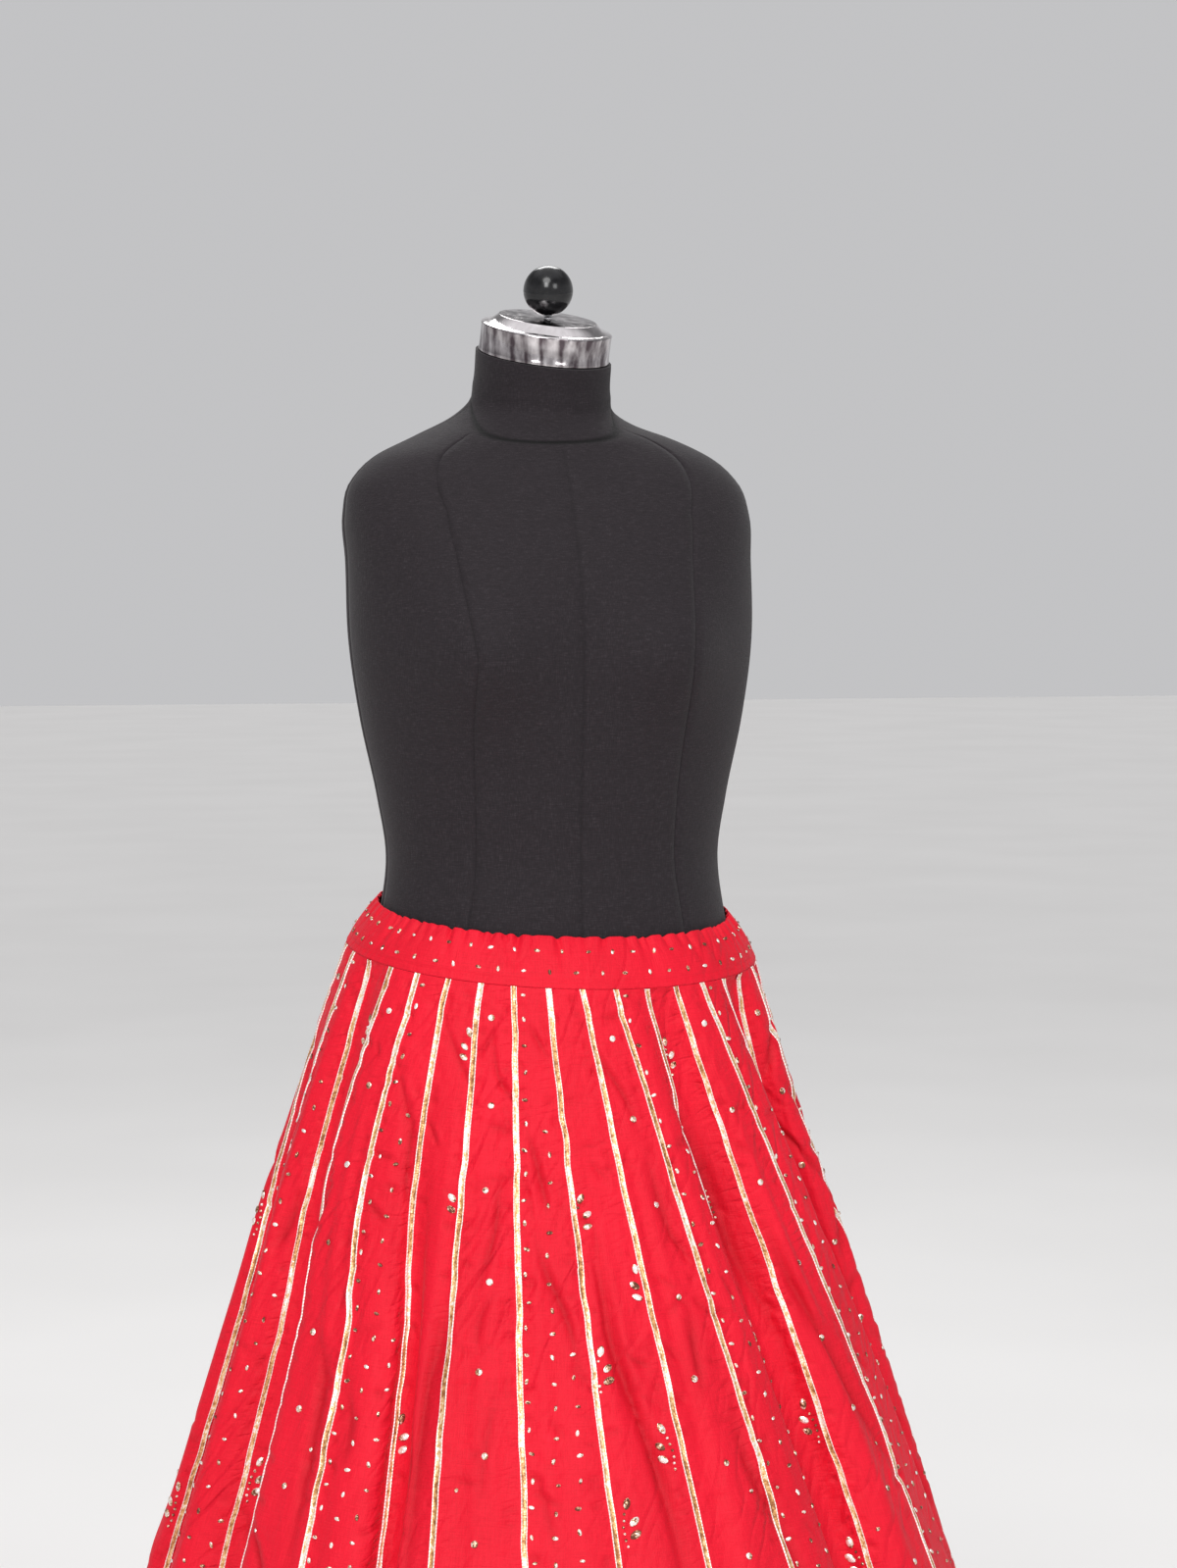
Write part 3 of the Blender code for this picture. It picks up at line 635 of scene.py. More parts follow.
def pull(chance, kali):
    """A slanting crease, as where the waist drags the cloth."""
    place = kali + chance.random()
    down = chance.uniform(*PULL.down)
    turn = chance.choice(LEANS) * chance.uniform(*PULL.turn)
    path = wandering(chance, place, down, chance.uniform(*PULL.length), turn, PULL_BACK * turn)
    return Crease(path, chance.uniform(*PULL.width), chance.uniform(*PULL.depth))


def flute(chance, kali):
    """A long soft trough or ridge that falls nearly straight."""
    place = kali + chance.random()
    down = chance.uniform(*FLUTE.down)
    length = chance.uniform(*FLUTE.length)
    turn = chance.uniform(*FLUTE.turn)
    path = wandering(chance, place, down, length, turn, chance.uniform(*FLUTE.bend))
    depth = chance.choice(TROUGH_OR_RIDGE) * chance.uniform(*FLUTE.depth)
    return Crease(path, chance.uniform(*FLUTE.width), depth)


def wrinkle(chance, kali):
    """A short shallow crease at any slant, a little more often high on the skirt."""
    place = kali + chance.random()
    down = chance.random() ** 1.2
    turn = chance.choice(LEANS) * chance.uniform(*WRINKLE.turn)
    length = chance.uniform(*WRINKLE.length)
    path = wandering(chance, place, down, length, turn, chance.uniform(*WRINKLE.bend))
    return Crease(path, chance.uniform(*WRINKLE.width), chance.uniform(*WRINKLE.depth))


def puckers(chance, seam, side):
    """Small creases that fan out from one side of a seam, all the way down."""
    made = []
    start = 0.0 if side < 0.0 else (GOTA_EDGE + GOTA_WIDTH) * 0.8
    length = chance.uniform(*PUCKERS_START)
    while length < KALI_LENGTH - PUCKERS_END:
        down = length / KALI_LENGTH
        reach = chance.uniform(*PUCKER.length) * min(1.0, 0.55 + down)
        turn = side * chance.uniform(*PUCKER.turn)
        place = seam + side * start / kali_width(down)
        path = wandering(chance, place, down, reach, turn, chance.uniform(*PUCKER.bend))
        made.append(Crease(path, chance.uniform(*PUCKER.width), chance.uniform(*PUCKER.depth)))
        length += PUCKER_SPACING * chance.uniform(*PUCKER_PITCHES)
    return made


def chance_creases():
    """Creases like the shown ones on the cloth that the photograph doesn't show, and the
    small wrinkles and seam puckers that lie everywhere."""
    chance = random.Random(CREASE_SEED)
    made = []
    for kali in range(KALI_COUNT):
        large = [pull(chance, kali) for _ in range(PULLS_PER_KALI)]
        large += [flute(chance, kali) for _ in range(FLUTES_PER_KALI)]
        made += [crease for crease in large if not is_shown(*crease.path[0])]
        made += [wrinkle(chance, kali) for _ in range(WRINKLES_PER_KALI)]
    for seam in range(KALI_COUNT):
        for side in (-1.0, 1.0):
            made += puckers(chance, seam, side)
    return made


def smoothed(path):
    """More points along a path, on a smooth curve through its own."""
    known = np.array(path)
    wanted = np.linspace(0, len(known) - 1, 4 * (len(known) - 1) + 1)
    low = np.clip(np.floor(wanted).astype(int), 0, len(known) - 2)
    return smooth_between(known, np.gradient(known, axis=0), low, (wanted - low)[:, None])


def lowest_near(field, step):
    """The lowest value within step rows and columns of each point. Columns go round."""
    lowest = field
    for offset in range(-step, step + 1):
        lowest = np.minimum(lowest, np.roll(field, offset, axis=1))
    padded = np.pad(lowest, ((step, step), (0, 0)), mode="edge")
    return np.min([padded[offset:offset + len(field)] for offset in range(2 * step + 1)], axis=0)


def measured_to(line, x, y):
    """Each point's distance from a line of points, its share along it, and how far aside it
    lies, above 0 towards higher places where the line runs down."""
    nearest = np.full(x.shape, np.inf)
    along = np.zeros(x.shape)
    aside = np.zeros(x.shape)
    for order, (start, end) in enumerate(zip(line[:-1], line[1:])):
        run, fall = end - start
        length_squared = run * run + fall * fall
        ahead_x = x - start[0]
        ahead_y = y - start[1]
        share = np.clip((ahead_x * run + ahead_y * fall) / length_squared, 0.0, 1.0)
        gap = np.hypot(ahead_x - share * run, ahead_y - share * fall)
        nearer = gap < nearest
        nearest = np.where(nearer, gap, nearest)
        along = np.where(nearer, (order + share) / (len(line) - 1), along)
        aside = np.where(nearer, (ahead_x * fall - ahead_y * run) / math.sqrt(length_squared), aside)
    return nearest, along, aside


class Cloth:
    """The skirt's outer face as a fine grid, read at any place round it and share down it."""

    def __init__(self):
        steps = np.arange(CLOTH_ROWS + 1) / CLOTH_ROWS
        self.downs = np.interp(steps, (0.0, FINE_ROWS, 1.0), (0.0, FINE_DOWN, 1.0))
        self.columns = KALI_COUNT * KALI_COLUMNS
        self.places = np.arange(self.columns) / KALI_COLUMNS
        self.widths = kali_width(self.downs)
        self.points = np.array([cloth_row(down, self.places) for down in self.downs])
        self.read_slopes()
        self.points = self.points + self.normals * (self.waved() + self.turned_hem())[..., None]
        self.read_slopes()
        raised = np.zeros(self.points.shape[:2])
        # Painted shade for each point of the cloth, filled in along the creases.
        self.shade = np.zeros(raised.shape)
        for crease in list(CREASES) + chance_creases():
            self.add_crease(raised, crease)
        deepest = lowest_near(raised, INNER_STEP) - CLOTH_THICKNESS
        deepest[-INNER_STEP:] = raised[-INNER_STEP:] - CLOTH_THICKNESS
        self.inner_points = self.points + self.normals * deepest[..., None]
        self.points = self.points + self.normals * raised[..., None]
        self.read_slopes()

    def read_slopes(self):
        self.alongs = np.roll(self.points, -1, axis=1) - np.roll(self.points, 1, axis=1)
        downwards = np.gradient(self.points, axis=0)
        self.normals = unit(np.cross(downwards, self.alongs))

    def add_crease(self, raised, crease):
        """Lowers the cloth along a crease's path, lifts it a little beside it, and paints shade into its
        trough.
        """
        path = smoothed(crease.path)
        reach = CREASE_REACH * crease.width
        ends = (path[:, 1].min() - reach / KALI_LENGTH, path[:, 1].max() + reach / KALI_LENGTH)
        first, last = np.searchsorted(self.downs, ends)
        if last - first < 2:
            return
        aside = reach / kali_width(float(path[:, 1].mean()))
        low = math.floor((path[:, 0].min() - aside) * KALI_COLUMNS)
        high = math.ceil((path[:, 0].max() + aside) * KALI_COLUMNS)
        steps = np.arange(low, high + 1)
        centre = path[:, 0].mean()
        x = (steps / KALI_COLUMNS - centre)[None, :] * self.widths[first:last, None]
        y = np.broadcast_to(self.downs[first:last, None] * KALI_LENGTH, x.shape)
        line = np.stack(((path[:, 0] - centre) * kali_width(path[:, 1]), path[:, 1] * KALI_LENGTH), axis=-1)
        nearest, along, signed = measured_to(line, x, y)

        offset = nearest / crease.width
        beside = np.clip(signed / crease.width, -offset, offset)
        trough = np.exp(BOTTOM_ROUNDING - np.sqrt(offset ** 2 + BOTTOM_ROUNDING ** 2))
        ridge = RIDGE_SHARE * np.exp(-0.5 * ((beside - RIDGE_SIDE) / RIDGE_BREADTH) ** 2
                                     - 0.25 * (offset ** 2 - beside ** 2))
        fade = ease(CREASE_TAPER * np.minimum(along, 1.0 - along) + CREASE_TIP)
        fade = fade * ease((CREASE_REACH - offset) / CREASE_FADE)
        here = (slice(first, last), steps % self.columns)
        raised[here] -= crease.depth * (trough - ridge) * fade
        # Painted shade: the trough's colour is darkened by this share, standing in for the shade that falls
        # in it.
        strength = min(max((crease.depth - SHADE_FROM) / SHADE_RISE, 0.0), 1.0)
        self.shade[here] = np.maximum(self.shade[here], strength * trough ** SHADE_POWER * fade)

    def waved(self):
        """Slow uneven waves, so that no stretch of cloth is dead flat."""
        generator = np.random.default_rng(CREASE_SEED + 1)
        raised = np.zeros(self.points.shape[:2])
        for waves in WAVES_ROUND:
            phase = generator.uniform(0.0, 2.0 * math.pi)
            sway = generator.uniform(*WAVE_SWAY)
            swell = generator.uniform(*WAVE_SWELL)
            turn = 2.0 * math.pi * waves * self.places / KALI_COUNT
            grown = ease(self.downs / 0.25)[:, None] * (self.widths / KALI_HEM_WIDTH)[:, None] ** 0.5
            wave = np.sin(turn[None, :] + phase + sway * self.downs[:, None])
            raised += WAVE_DEPTH * grown * wave * (0.6 + 0.4 * np.sin(swell * self.downs[:, None] + phase))
        return raised

    def turned_hem(self):
        """The hem's doubled cloth stands a little proud, with a soft step at its stitches."""
        up = (1.0 - self.downs) * KALI_LENGTH
        turned = HEM_TURN_RISE * ease((HEM_TURN + HEM_STITCH_ABOVE - up) / HEM_STEP)
        return np.repeat(turned[:, None], self.columns, axis=1)

    def read(self, grid, places, downs):
        column = (places % KALI_COUNT) * KALI_COLUMNS
        left = np.floor(column).astype(int)
        across = (column - left)[..., None]
        row = np.interp(downs, self.downs, np.arange(CLOTH_ROWS + 1))
        upper = np.clip(np.floor(row).astype(int), 0, CLOTH_ROWS - 1)
        below = (row - upper)[..., None]
        left = left % self.columns
        right = (left + 1) % self.columns
        top = grid[upper, left] * (1.0 - across) + grid[upper, right] * across
        foot = grid[upper + 1, left] * (1.0 - across) + grid[upper + 1, right] * across
        return top * (1.0 - below) + foot * below

    def spots(self, places, downs):
        """Points on the cloth, with their directions across, up and out."""
        places = np.asarray(places, dtype=float)
        downs = np.asarray(downs, dtype=float)
        point = self.read(self.points, places, downs)
        out = unit(self.read(self.normals, places, downs))
        along = self.read(self.alongs, places, downs)
        across = unit(along - out * np.sum(along * out, axis=-1, keepdims=True))
        return point, across, np.cross(out, across), out


# ---------------------------------------------------------------- dress form's surface
def form_outline(angles, heights, grow=0.0):
    """Points of the form's surface moved out by grow, at angles from the front."""
    heights = np.broadcast_to(np.asarray(heights, dtype=float), angles.shape)
    sines = np.sin(angles)
    cosines = np.cos(angles)
    power = 2.0 / through_table("squareness", heights)
    half_width = through_table("half_width", heights) + grow
    front = through_table("front", heights) + grow
    back = through_table("back", heights) + grow
    centre = through_table("centre", heights)
    x = half_width * np.sign(sines) * np.abs(sines) ** power
    depth = np.where(cosines > 0.0, front, back)
    y = -depth * np.sign(cosines) * np.abs(cosines) ** power
    up = np.exp(-((heights - BUST_HEIGHT) / BUST_SPREAD_UP) ** 2)
    across = np.exp(-((np.abs(x) - BUST_SIDE) / BUST_SPREAD_ACROSS) ** 2)
    y = y - BUST_RISE * up * across * np.clip(cosines, 0.0, 1.0) ** 0.5
    z = heights + np.tan(np.radians(through_table("lean", heights))) * y
    z = z - np.tan(np.radians(through_table("roll", heights))) * x
    return np.stack((x, y + centre, z), axis=-1)


# ---------------------------------------------------------------- materials
SHADER_INPUTS = {
    "colour": "Base Color", "metallic": "Metallic", "roughness": "Roughness",
    "specular": "Specular IOR Level",
    "sheen": "Sheen Weight", "sheen_roughness": "Sheen Roughness", "sheen_tint": "Sheen Tint",
    "coat": "Coat Weight", "coat_roughness": "Coat Roughness", "anisotropic": "Anisotropic",
}
# Painted shade in the cloth's creases.
CLOTH_CREASE_PAINTED_SHADE = (0.52, 0.24, 0.30)
# Painted shade in the form's seam grooves.
FORM_SEAM_PAINTED_SHADE = (0.10, 0.10, 0.10)
# Painted dark reflections on the cap's side.
CHROME_PAINTED_REFLECTION_SHADE = (0.12, 0.10, 0.11)


class Finish:
    """A material under construction, with short calls for the nodes used here."""

    def __init__(self, name):
        self.material = bpy.data.materials.new(name)
        self.material.use_nodes = True
        self.nodes = self.material.node_tree.nodes
        self.links = self.material.node_tree.links
        self.shader = self.nodes["Principled BSDF"]

    def set(self, **values):
        for key, value in values.items():
            self.shader.inputs[SHADER_INPUTS[key]].default_value = value

    def node(self, kind, plugs, **settings):
        """A new node. plugs gives its inputs, each a value or another node's output."""
        made = self.nodes.new("ShaderNode" + kind)
        for key, value in settings.items():
            setattr(made, key, value)
        for socket, value in plugs.items():
            if isinstance(value, bpy.types.NodeSocket):
                self.links.new(value, made.inputs[socket])
            else:
                made.inputs[socket].default_value = value
        return made

    def cloth_place(self, across, down, turn=None):
        """The cloth's own coordinates, in metres, turned if asked and stretched."""
        place = self.node("UVMap", {}, uv_map="cloth").outputs["UV"]
        if turn is not None:
            place = self.node("Mapping", {"Vector": place, "Rotation": (0.0, 0.0, turn)}).outputs["Vector"]
        return self.node("Mapping", {"Vector": place, "Scale": (across, down, 1.0)}).outputs["Vector"]

    def solid_place(self, level, upward=None):
        """The object's own coordinates, in metres, stretched alike unless upward is given."""
        place = self.node("TexCoord", {}).outputs["Object"]
        scale = (level, level, level if upward is None else upward)
        return self.node("Mapping", {"Vector": place, "Scale": scale}).outputs["Vector"]

    def attribute(self, name):
        return self.node("Attribute", {}, attribute_name=name).outputs["Fac"]

    def noise(self, place, detail=2.0, distortion=0.0):
        plugs = {"Vector": place, "Scale": 1.0, "Detail": detail, "Distortion": distortion}
        return self.node("TexNoise", plugs).outputs["Fac"]

    def wave(self, place, direction, distortion=0.0):
        plugs = {"Vector": place, "Scale": 1.0, "Distortion": distortion}
        return self.node("TexWave", plugs, bands_direction=direction).outputs["Fac"]

    def maths(self, operation, first, second=0.0):
        return self.node("Math", {0: first, 1: second}, operation=operation).outputs[0]

    def spread(self, value, low, high, to_low=0.0, to_high=1.0):
        plugs = {"Value": value, "From Min": low, "From Max": high, "To Min": to_low, "To Max": to_high}
        return self.node("MapRange", plugs).outputs["Result"]

    def layered(self, *layers):
        """The sum of some values, each given with its own low and high and the share it adds."""
        total = None
        for value, low, high, share in layers:
            part = self.spread(value, low, high, 0.0, share)
            total = part if total is None else self.maths("ADD", total, part)
        return total

    def ramp(self, value, *stops):
        """A colour by value. Each stop is a position and a colour."""
        made = self.node("ValToRGB", {"Fac": value})
        elements = made.color_ramp.elements
        while len(elements) < len(stops):
            elements.new(0.5)
        for element, (position, colour) in zip(elements, stops):
            element.position = position
            element.color = (*colour, 1.0)
        return made.outputs["Color"]

    def wrinkles(self, across, down, turn, strength):
        """Sharp wandering creases along the cloth's own directions, as a height."""
        level = self.noise(self.cloth_place(across, down, turn), detail=1.0)
        away = self.maths("ABSOLUTE", self.maths("SUBTRACT", level, 0.5))
        return self.maths("MULTIPLY", self.spread(away, 0.0, 0.09, -1.0, 0.0), strength)

    def darkened(self, colour, share, deep):
        """A colour multiplied with a deep shade by a share of 0 to 1, which paints shade into it."""
        plugs = {"Factor": share, 6: colour, 7: (*deep, 1.0)}
        return self.node("Mix", plugs, data_type="RGBA", blend_type="MULTIPLY").outputs[2]

    def colour(self, socket):
        self.links.new(socket, self.shader.inputs["Base Color"])

    def roughness(self, socket):
        self.links.new(socket, self.shader.inputs["Roughness"])

    def bump(self, *layers):
        """Bump from pairs of a height socket and its full height in metres. It ends a material."""
        plugs = {"Strength": 1.0}
        for height, distance in layers:
            made = self.node("Bump", {**plugs, "Distance": distance, "Height": height})
            plugs["Normal"] = made.outputs["Normal"]
        self.links.new(plugs["Normal"], self.shader.inputs["Normal"])
        return self.material


def red_cloth():
    """Fine silk and cotton cloth: slubby threads both ways, a soft sheen, painted shade in its
    creases, and small wrinkles that crowd beside the ribbons."""
    cloth = Finish("red_silk_cotton")
    cloth.set(roughness=0.62, sheen=0.06, sheen_roughness=0.40, sheen_tint=(1.0, 0.42, 0.48, 1.0))
    cloth.set(specular=0.24)
    warp = cloth.noise(cloth.cloth_place(1500.0, 55.0), detail=3.0)
    weft = cloth.noise(cloth.cloth_place(60.0, 1500.0), detail=3.0)
    threads = cloth.maths("ADD", warp, weft)
    patches = cloth.noise(cloth.cloth_place(14.0, 9.0), detail=3.0)
    shade = cloth.layered((threads, 0.6, 1.4, 0.70), (patches, 0.3, 0.7, 0.30))
    red = cloth.ramp(shade, (0.0, (0.60, 0.0022, 0.0158)), (0.5, (0.725, 0.0040, 0.0222)),
                     (1.0, (0.85, 0.0076, 0.0315)))
    # Painted shade: the creases' mark darkens the red in the troughs.
    painted_crease_shade = cloth.spread(cloth.attribute("crease"), 0.0, 1.0, 0.0, CREASE_PAINTED_SHADE_SHARE)
    cloth.colour(cloth.darkened(red, painted_crease_shade, CLOTH_CREASE_PAINTED_SHADE))

    beside = cloth.spread(cloth.attribute("edge"), 0.0, PUCKER_REACH, 1.0, 0.0)
    patchy = cloth.spread(cloth.noise(cloth.cloth_place(16.0, 9.0)), 0.38, 0.64, 0.15, 1.0)
    puckered = cloth.wrinkles(26.0, 105.0, 0.35, cloth.maths("MULTIPLY", beside, patchy))
    scattered = cloth.noise(cloth.cloth_place(11.0, 6.0), detail=1.0)
    falling = cloth.wrinkles(60.0, 15.0, -0.45, cloth.spread(scattered, 0.40, 0.66, 0.10, 1.0))
    ripples = cloth.noise(cloth.cloth_place(95.0, 60.0), detail=4.0, distortion=1.2)
    return cloth.bump((threads, 0.00030), (ripples, 0.0008), (puckered, 0.0008), (falling, 0.0011))


def gota_foil():
    """Woven foil ribbon: brown gold to gold at random, with white stretches that are painted glints."""
    foil = Finish("gota_foil")
    foil.set(metallic=0.40)
    flecks = foil.noise(foil.cloth_place(620.0, 330.0), distortion=0.6)
    crush = foil.noise(foil.cloth_place(190.0, 120.0))
    runs = foil.noise(foil.cloth_place(34.0, 15.0))
    # Painted glint: the white end of this tone stands in for highlights; the brown and gold are the foil's
    # own.
    tone = foil.layered((flecks, 0.34, 0.66, 0.36), (crush, 0.34, 0.66, 0.28), (runs, 0.38, 0.62, 0.36))
    foil.colour(foil.ramp(tone, (0.20, (0.34, 0.12, 0.035)), (0.40, (0.72, 0.36, 0.13)),
                          (0.58, (0.92, 0.62, 0.34)), (0.72, (1.0, 0.93, 0.84))))
    foil.roughness(foil.spread(crush, 0.3, 0.7, 0.46, 0.26))
    ribs = foil.wave(foil.cloth_place(1.0, 180.0), "Y")
    return foil.bump((ribs, 0.00006), (crush, 0.00050))


def gota_thread():
    """The ribbon's pale metal-thread edges, and the stitches that hold them."""
    thread = Finish("gota_thread")
    thread.set(metallic=0.35, roughness=0.40)
    twist = thread.wave(thread.cloth_place(120.0, 260.0), "DIAGONAL", distortion=0.5)
    thread.colour(thread.ramp(twist, (0.0, (0.86, 0.60, 0.54)), (0.40, (1.0, 0.88, 0.84)),
                              (1.0, (1.0, 0.97, 0.95))))
    return thread.bump((twist, 0.00018))


def bright_metal(name):
    """Beaten flat metal wire: brown to gold at random from piece to piece, with white that is painted
    highlight.
    """
    metal = Finish(name)
    metal.set(metallic=0.50)
    piece = metal.noise(metal.solid_place(140.0), detail=1.0)
    folds = metal.noise(metal.solid_place(520.0), detail=1.0, distortion=1.0)
    # Painted highlight: the white end of this tone stands in for glints; the brown and gold are the metal's
    # own.
    tone = metal.layered((piece, 0.33, 0.67, 0.60), (folds, 0.35, 0.65, 0.40))
    metal.colour(metal.ramp(tone, (0.30, (0.17, 0.055, 0.030)), (0.47, (0.76, 0.46, 0.26)),
                            (0.63, (1.0, 0.94, 0.90))))
    metal.roughness(metal.spread(folds, 0.3, 0.7, 0.34, 0.18))
    return metal.bump((folds, 0.0005))


def black_jersey():
    """The form's cover: black plain weave with a faint grey lint, and painted shade in its seam grooves."""
    jersey = Finish("form_cover")
    jersey.set(roughness=0.80, sheen=0.07, sheen_roughness=0.5, specular=0.26)
    across = jersey.noise(jersey.solid_place(1500.0, 160.0))
    upward = jersey.noise(jersey.solid_place(190.0, 1500.0))
    threads = jersey.maths("ADD", across, upward)
    black = jersey.ramp(jersey.spread(threads, 0.7, 1.35), (0.0, (0.011, 0.008, 0.010)),
                        (0.6, (0.017, 0.0125, 0.0155)), (1.0, (0.032, 0.026, 0.030)))
    # Painted shade: the seams' mark darkens the black in their grooves.
    painted_seam_shade = jersey.spread(jersey.attribute("seam"), 0.1, 0.9)
    jersey.colour(jersey.darkened(black, painted_seam_shade, FORM_SEAM_PAINTED_SHADE))
    lint = jersey.noise(jersey.solid_place(22.0), detail=4.0)
    return jersey.bump((threads, 0.00025), (lint, 0.0004))


def chrome():
    """Bright plating on rolled sheet. Its side is darkened with upright streaks, painted dark
    reflections of the room, and its shoulder, marked on the mesh, is spared most of them."""
    plated = Finish("cap_chrome")
    plated.set(metallic=1.0)
    streaks = plated.noise(plated.solid_place(95.0, 4.0))
    smears = plated.noise(plated.solid_place(260.0, 120.0), detail=4.0)
    bright = plated.ramp(smears, (0.3, (0.88, 0.83, 0.84)), (0.7, (0.96, 0.92, 0.93)))
    # Painted reflection: upright streaks that darken the side as a darker room mirrored there would.
    reflection_streaks = plated.maths("ADD", streaks, plated.spread(smears, 0.3, 0.7, -0.06, 0.06))
    painted_dark_reflections = plated.spread(reflection_streaks, 0.38, 0.66, 1.0, 0.20)
    painted_reflection_share = plated.spread(plated.attribute("shoulder_without_painted_reflection"), 0.0, 1.0, 1.0, 0.10)
    plated.colour(plated.darkened(bright, plated.maths("MULTIPLY", painted_dark_reflections, painted_reflection_share), CHROME_PAINTED_REFLECTION_SHADE))
    plated.roughness(plated.spread(smears, 0.3, 0.7, 0.07, 0.20))
    return plated.bump((streaks, 0.00010), (smears, 0.00003))


def black_gloss():
    """The knob's glossy black plastic."""
    gloss = Finish("knob_gloss")
    gloss.set(roughness=0.20, specular=0.34, coat=0.16, coat_roughness=0.12)
    specks = gloss.noise(gloss.solid_place(300.0))
    gloss.colour(gloss.ramp(specks, (0.3, (0.006, 0.006, 0.007)), (0.8, (0.014, 0.014, 0.015))))
    return gloss.bump((specks, 0.00002))


def brushed_steel():
    """The pole's steel tube, brushed along its length."""
    steel = Finish("pole_steel")
    steel.set(metallic=1.0, colour=(0.58, 0.58, 0.60, 1.0), anisotropic=0.5)
    brush = steel.noise(steel.solid_place(900.0, 9.0), detail=4.0)
    steel.roughness(steel.spread(brush, 0.3, 0.7, 0.22, 0.40))
    return steel.bump((brush, 0.00003))


def base_enamel():
    """The base plate's black enamel, a little worn."""
    enamel = Finish("base_enamel")
    enamel.set(coat=0.25, coat_roughness=0.2)
    orange_peel = enamel.noise(enamel.solid_place(420.0))
    worn = enamel.noise(enamel.solid_place(30.0), detail=5.0)
    enamel.colour(enamel.ramp(worn, (0.35, (0.014, 0.014, 0.015)), (0.75, (0.030, 0.030, 0.032))))
    enamel.roughness(enamel.spread(worn, 0.3, 0.7, 0.30, 0.45))
    return enamel.bump((orange_peel, 0.00008))


# ---------------------------------------------------------------- meshes
def add_piece(name, points, faces, materials, face_materials=None, uv=None):
    """A smooth mesh that rides on the stand. uv is one pair for each point, in metres."""
    mesh = bpy.data.meshes.new(name)
    mesh.from_pydata(np.asarray(points).tolist(), [], faces)
    for material in materials:
        mesh.materials.append(material)
    if face_materials is not None:
        mesh.polygons.foreach_set("material_index", np.asarray(face_materials, dtype=np.int32))
    if uv is not None:
        corners = np.empty(len(mesh.loops), dtype=np.int32)
        mesh.loops.foreach_get("vertex_index", corners)
        layer = mesh.uv_layers.new(name="cloth")
        layer.data.foreach_set("uv", np.asarray(uv, dtype=np.float32)[corners].ravel())
    mesh.shade_smooth()
    piece = bpy.data.objects.new(name, mesh)
    bpy.context.scene.collection.objects.link(piece)
    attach(piece, BODY)
    return piece


def mark(piece, name, values):
    """Gives each point of a mesh a value that its material reads."""
    layer = piece.data.attributes.new(name, "FLOAT", "POINT")
    layer.data.foreach_set("value", values)


def grid_faces(rows, columns, closed=False):
    """Quads of a grid of points, rows down and columns across."""
    faces = []
    for row in range(rows - 1):
        for column in range(columns if closed else columns - 1):
            beside = (column + 1) % columns
            here = row * columns
            below = here + columns
            faces.append((here + column, below + column, below + beside, here + beside))
    return faces


def tube_faces(rows, columns):
    """Quads of a closed stack of rings, and a face over each end."""
    last = (rows - 1) * columns
    ends = [tuple(range(columns)), tuple(reversed(range(last, last + columns)))]
    return grid_faces(rows, columns, closed=True) + ends


def add_turned(name, profile, material, slot, place, lean=0.0, roll=0.0):
    """A turned piece, tipped in radians. Its profile of radii and heights runs from the axis at
    the top down its outer side."""
    turn = 2.0 * math.pi * np.arange(TURNED_STEPS) / TURNED_STEPS
    rings = [np.stack((radius * np.cos(turn), radius * np.sin(turn), np.full(turn.shape, height)), axis=-1)
             for radius, height in profile]
    tips = np.array(Euler((lean, roll, 0.0)).to_matrix())
    points = np.concatenate(rings) @ tips.T + np.asarray(place)
    piece = add_piece(name, points, tube_faces(len(profile), TURNED_STEPS), [material])
    piece.data.set_sharp_from_angle(angle=math.radians(50))
    return piece


def arc(radius, centre_radius, centre_height, first, last, steps):
    """Profile points on an arc, angles in degrees up from level."""
    turned = []
    for step in range(steps + 1):
        angle = math.radians(first + (last - first) * step / steps)
        turned.append((centre_radius + radius * math.cos(angle), centre_height + radius * math.sin(angle)))
    return turned


def scatter(name, templates, spots, turns, kinds, sizes, material):
    """One joined mesh of many small pieces of metal that lie on the cloth.

    templates are (points, faces) pairs with points across, up and out. spots are the points
    and directions from Cloth.spots, turns are in degrees, kinds picks each one's template.
    """
    place, across, up, out = spots
    points = []
    faces = []
    start = 0
    for index in range(len(place)):
        shape, shape_faces = templates[kinds[index]]
        angle = math.radians(turns[index])
        x = (shape[:, 0] * math.cos(angle) - shape[:, 1] * math.sin(angle)) * sizes[index]
        y = (shape[:, 0] * math.sin(angle) + shape[:, 1] * math.cos(angle)) * sizes[index]
        points.append(place[index] + across[index] * x[:, None] + up[index] * y[:, None]
                      + out[index] * shape[:, 2:3])
        faces.extend(tuple(start + corner for corner in face) for face in shape_faces)
        start += len(shape)
    return add_piece(name, np.concatenate(points), faces, [material])


def oval(length, breadth, corners, pointed):
    """An oval outline. pointed above 1 draws its two ends out to points."""
    outline = []
    for corner in range(corners):
        turn = 2.0 * math.pi * corner / corners
        narrow = breadth / 2 * math.sin(turn) * abs(math.sin(turn)) ** (pointed - 1.0)
        outline.append((length / 2 * math.cos(turn), narrow))
    return np.array(outline)


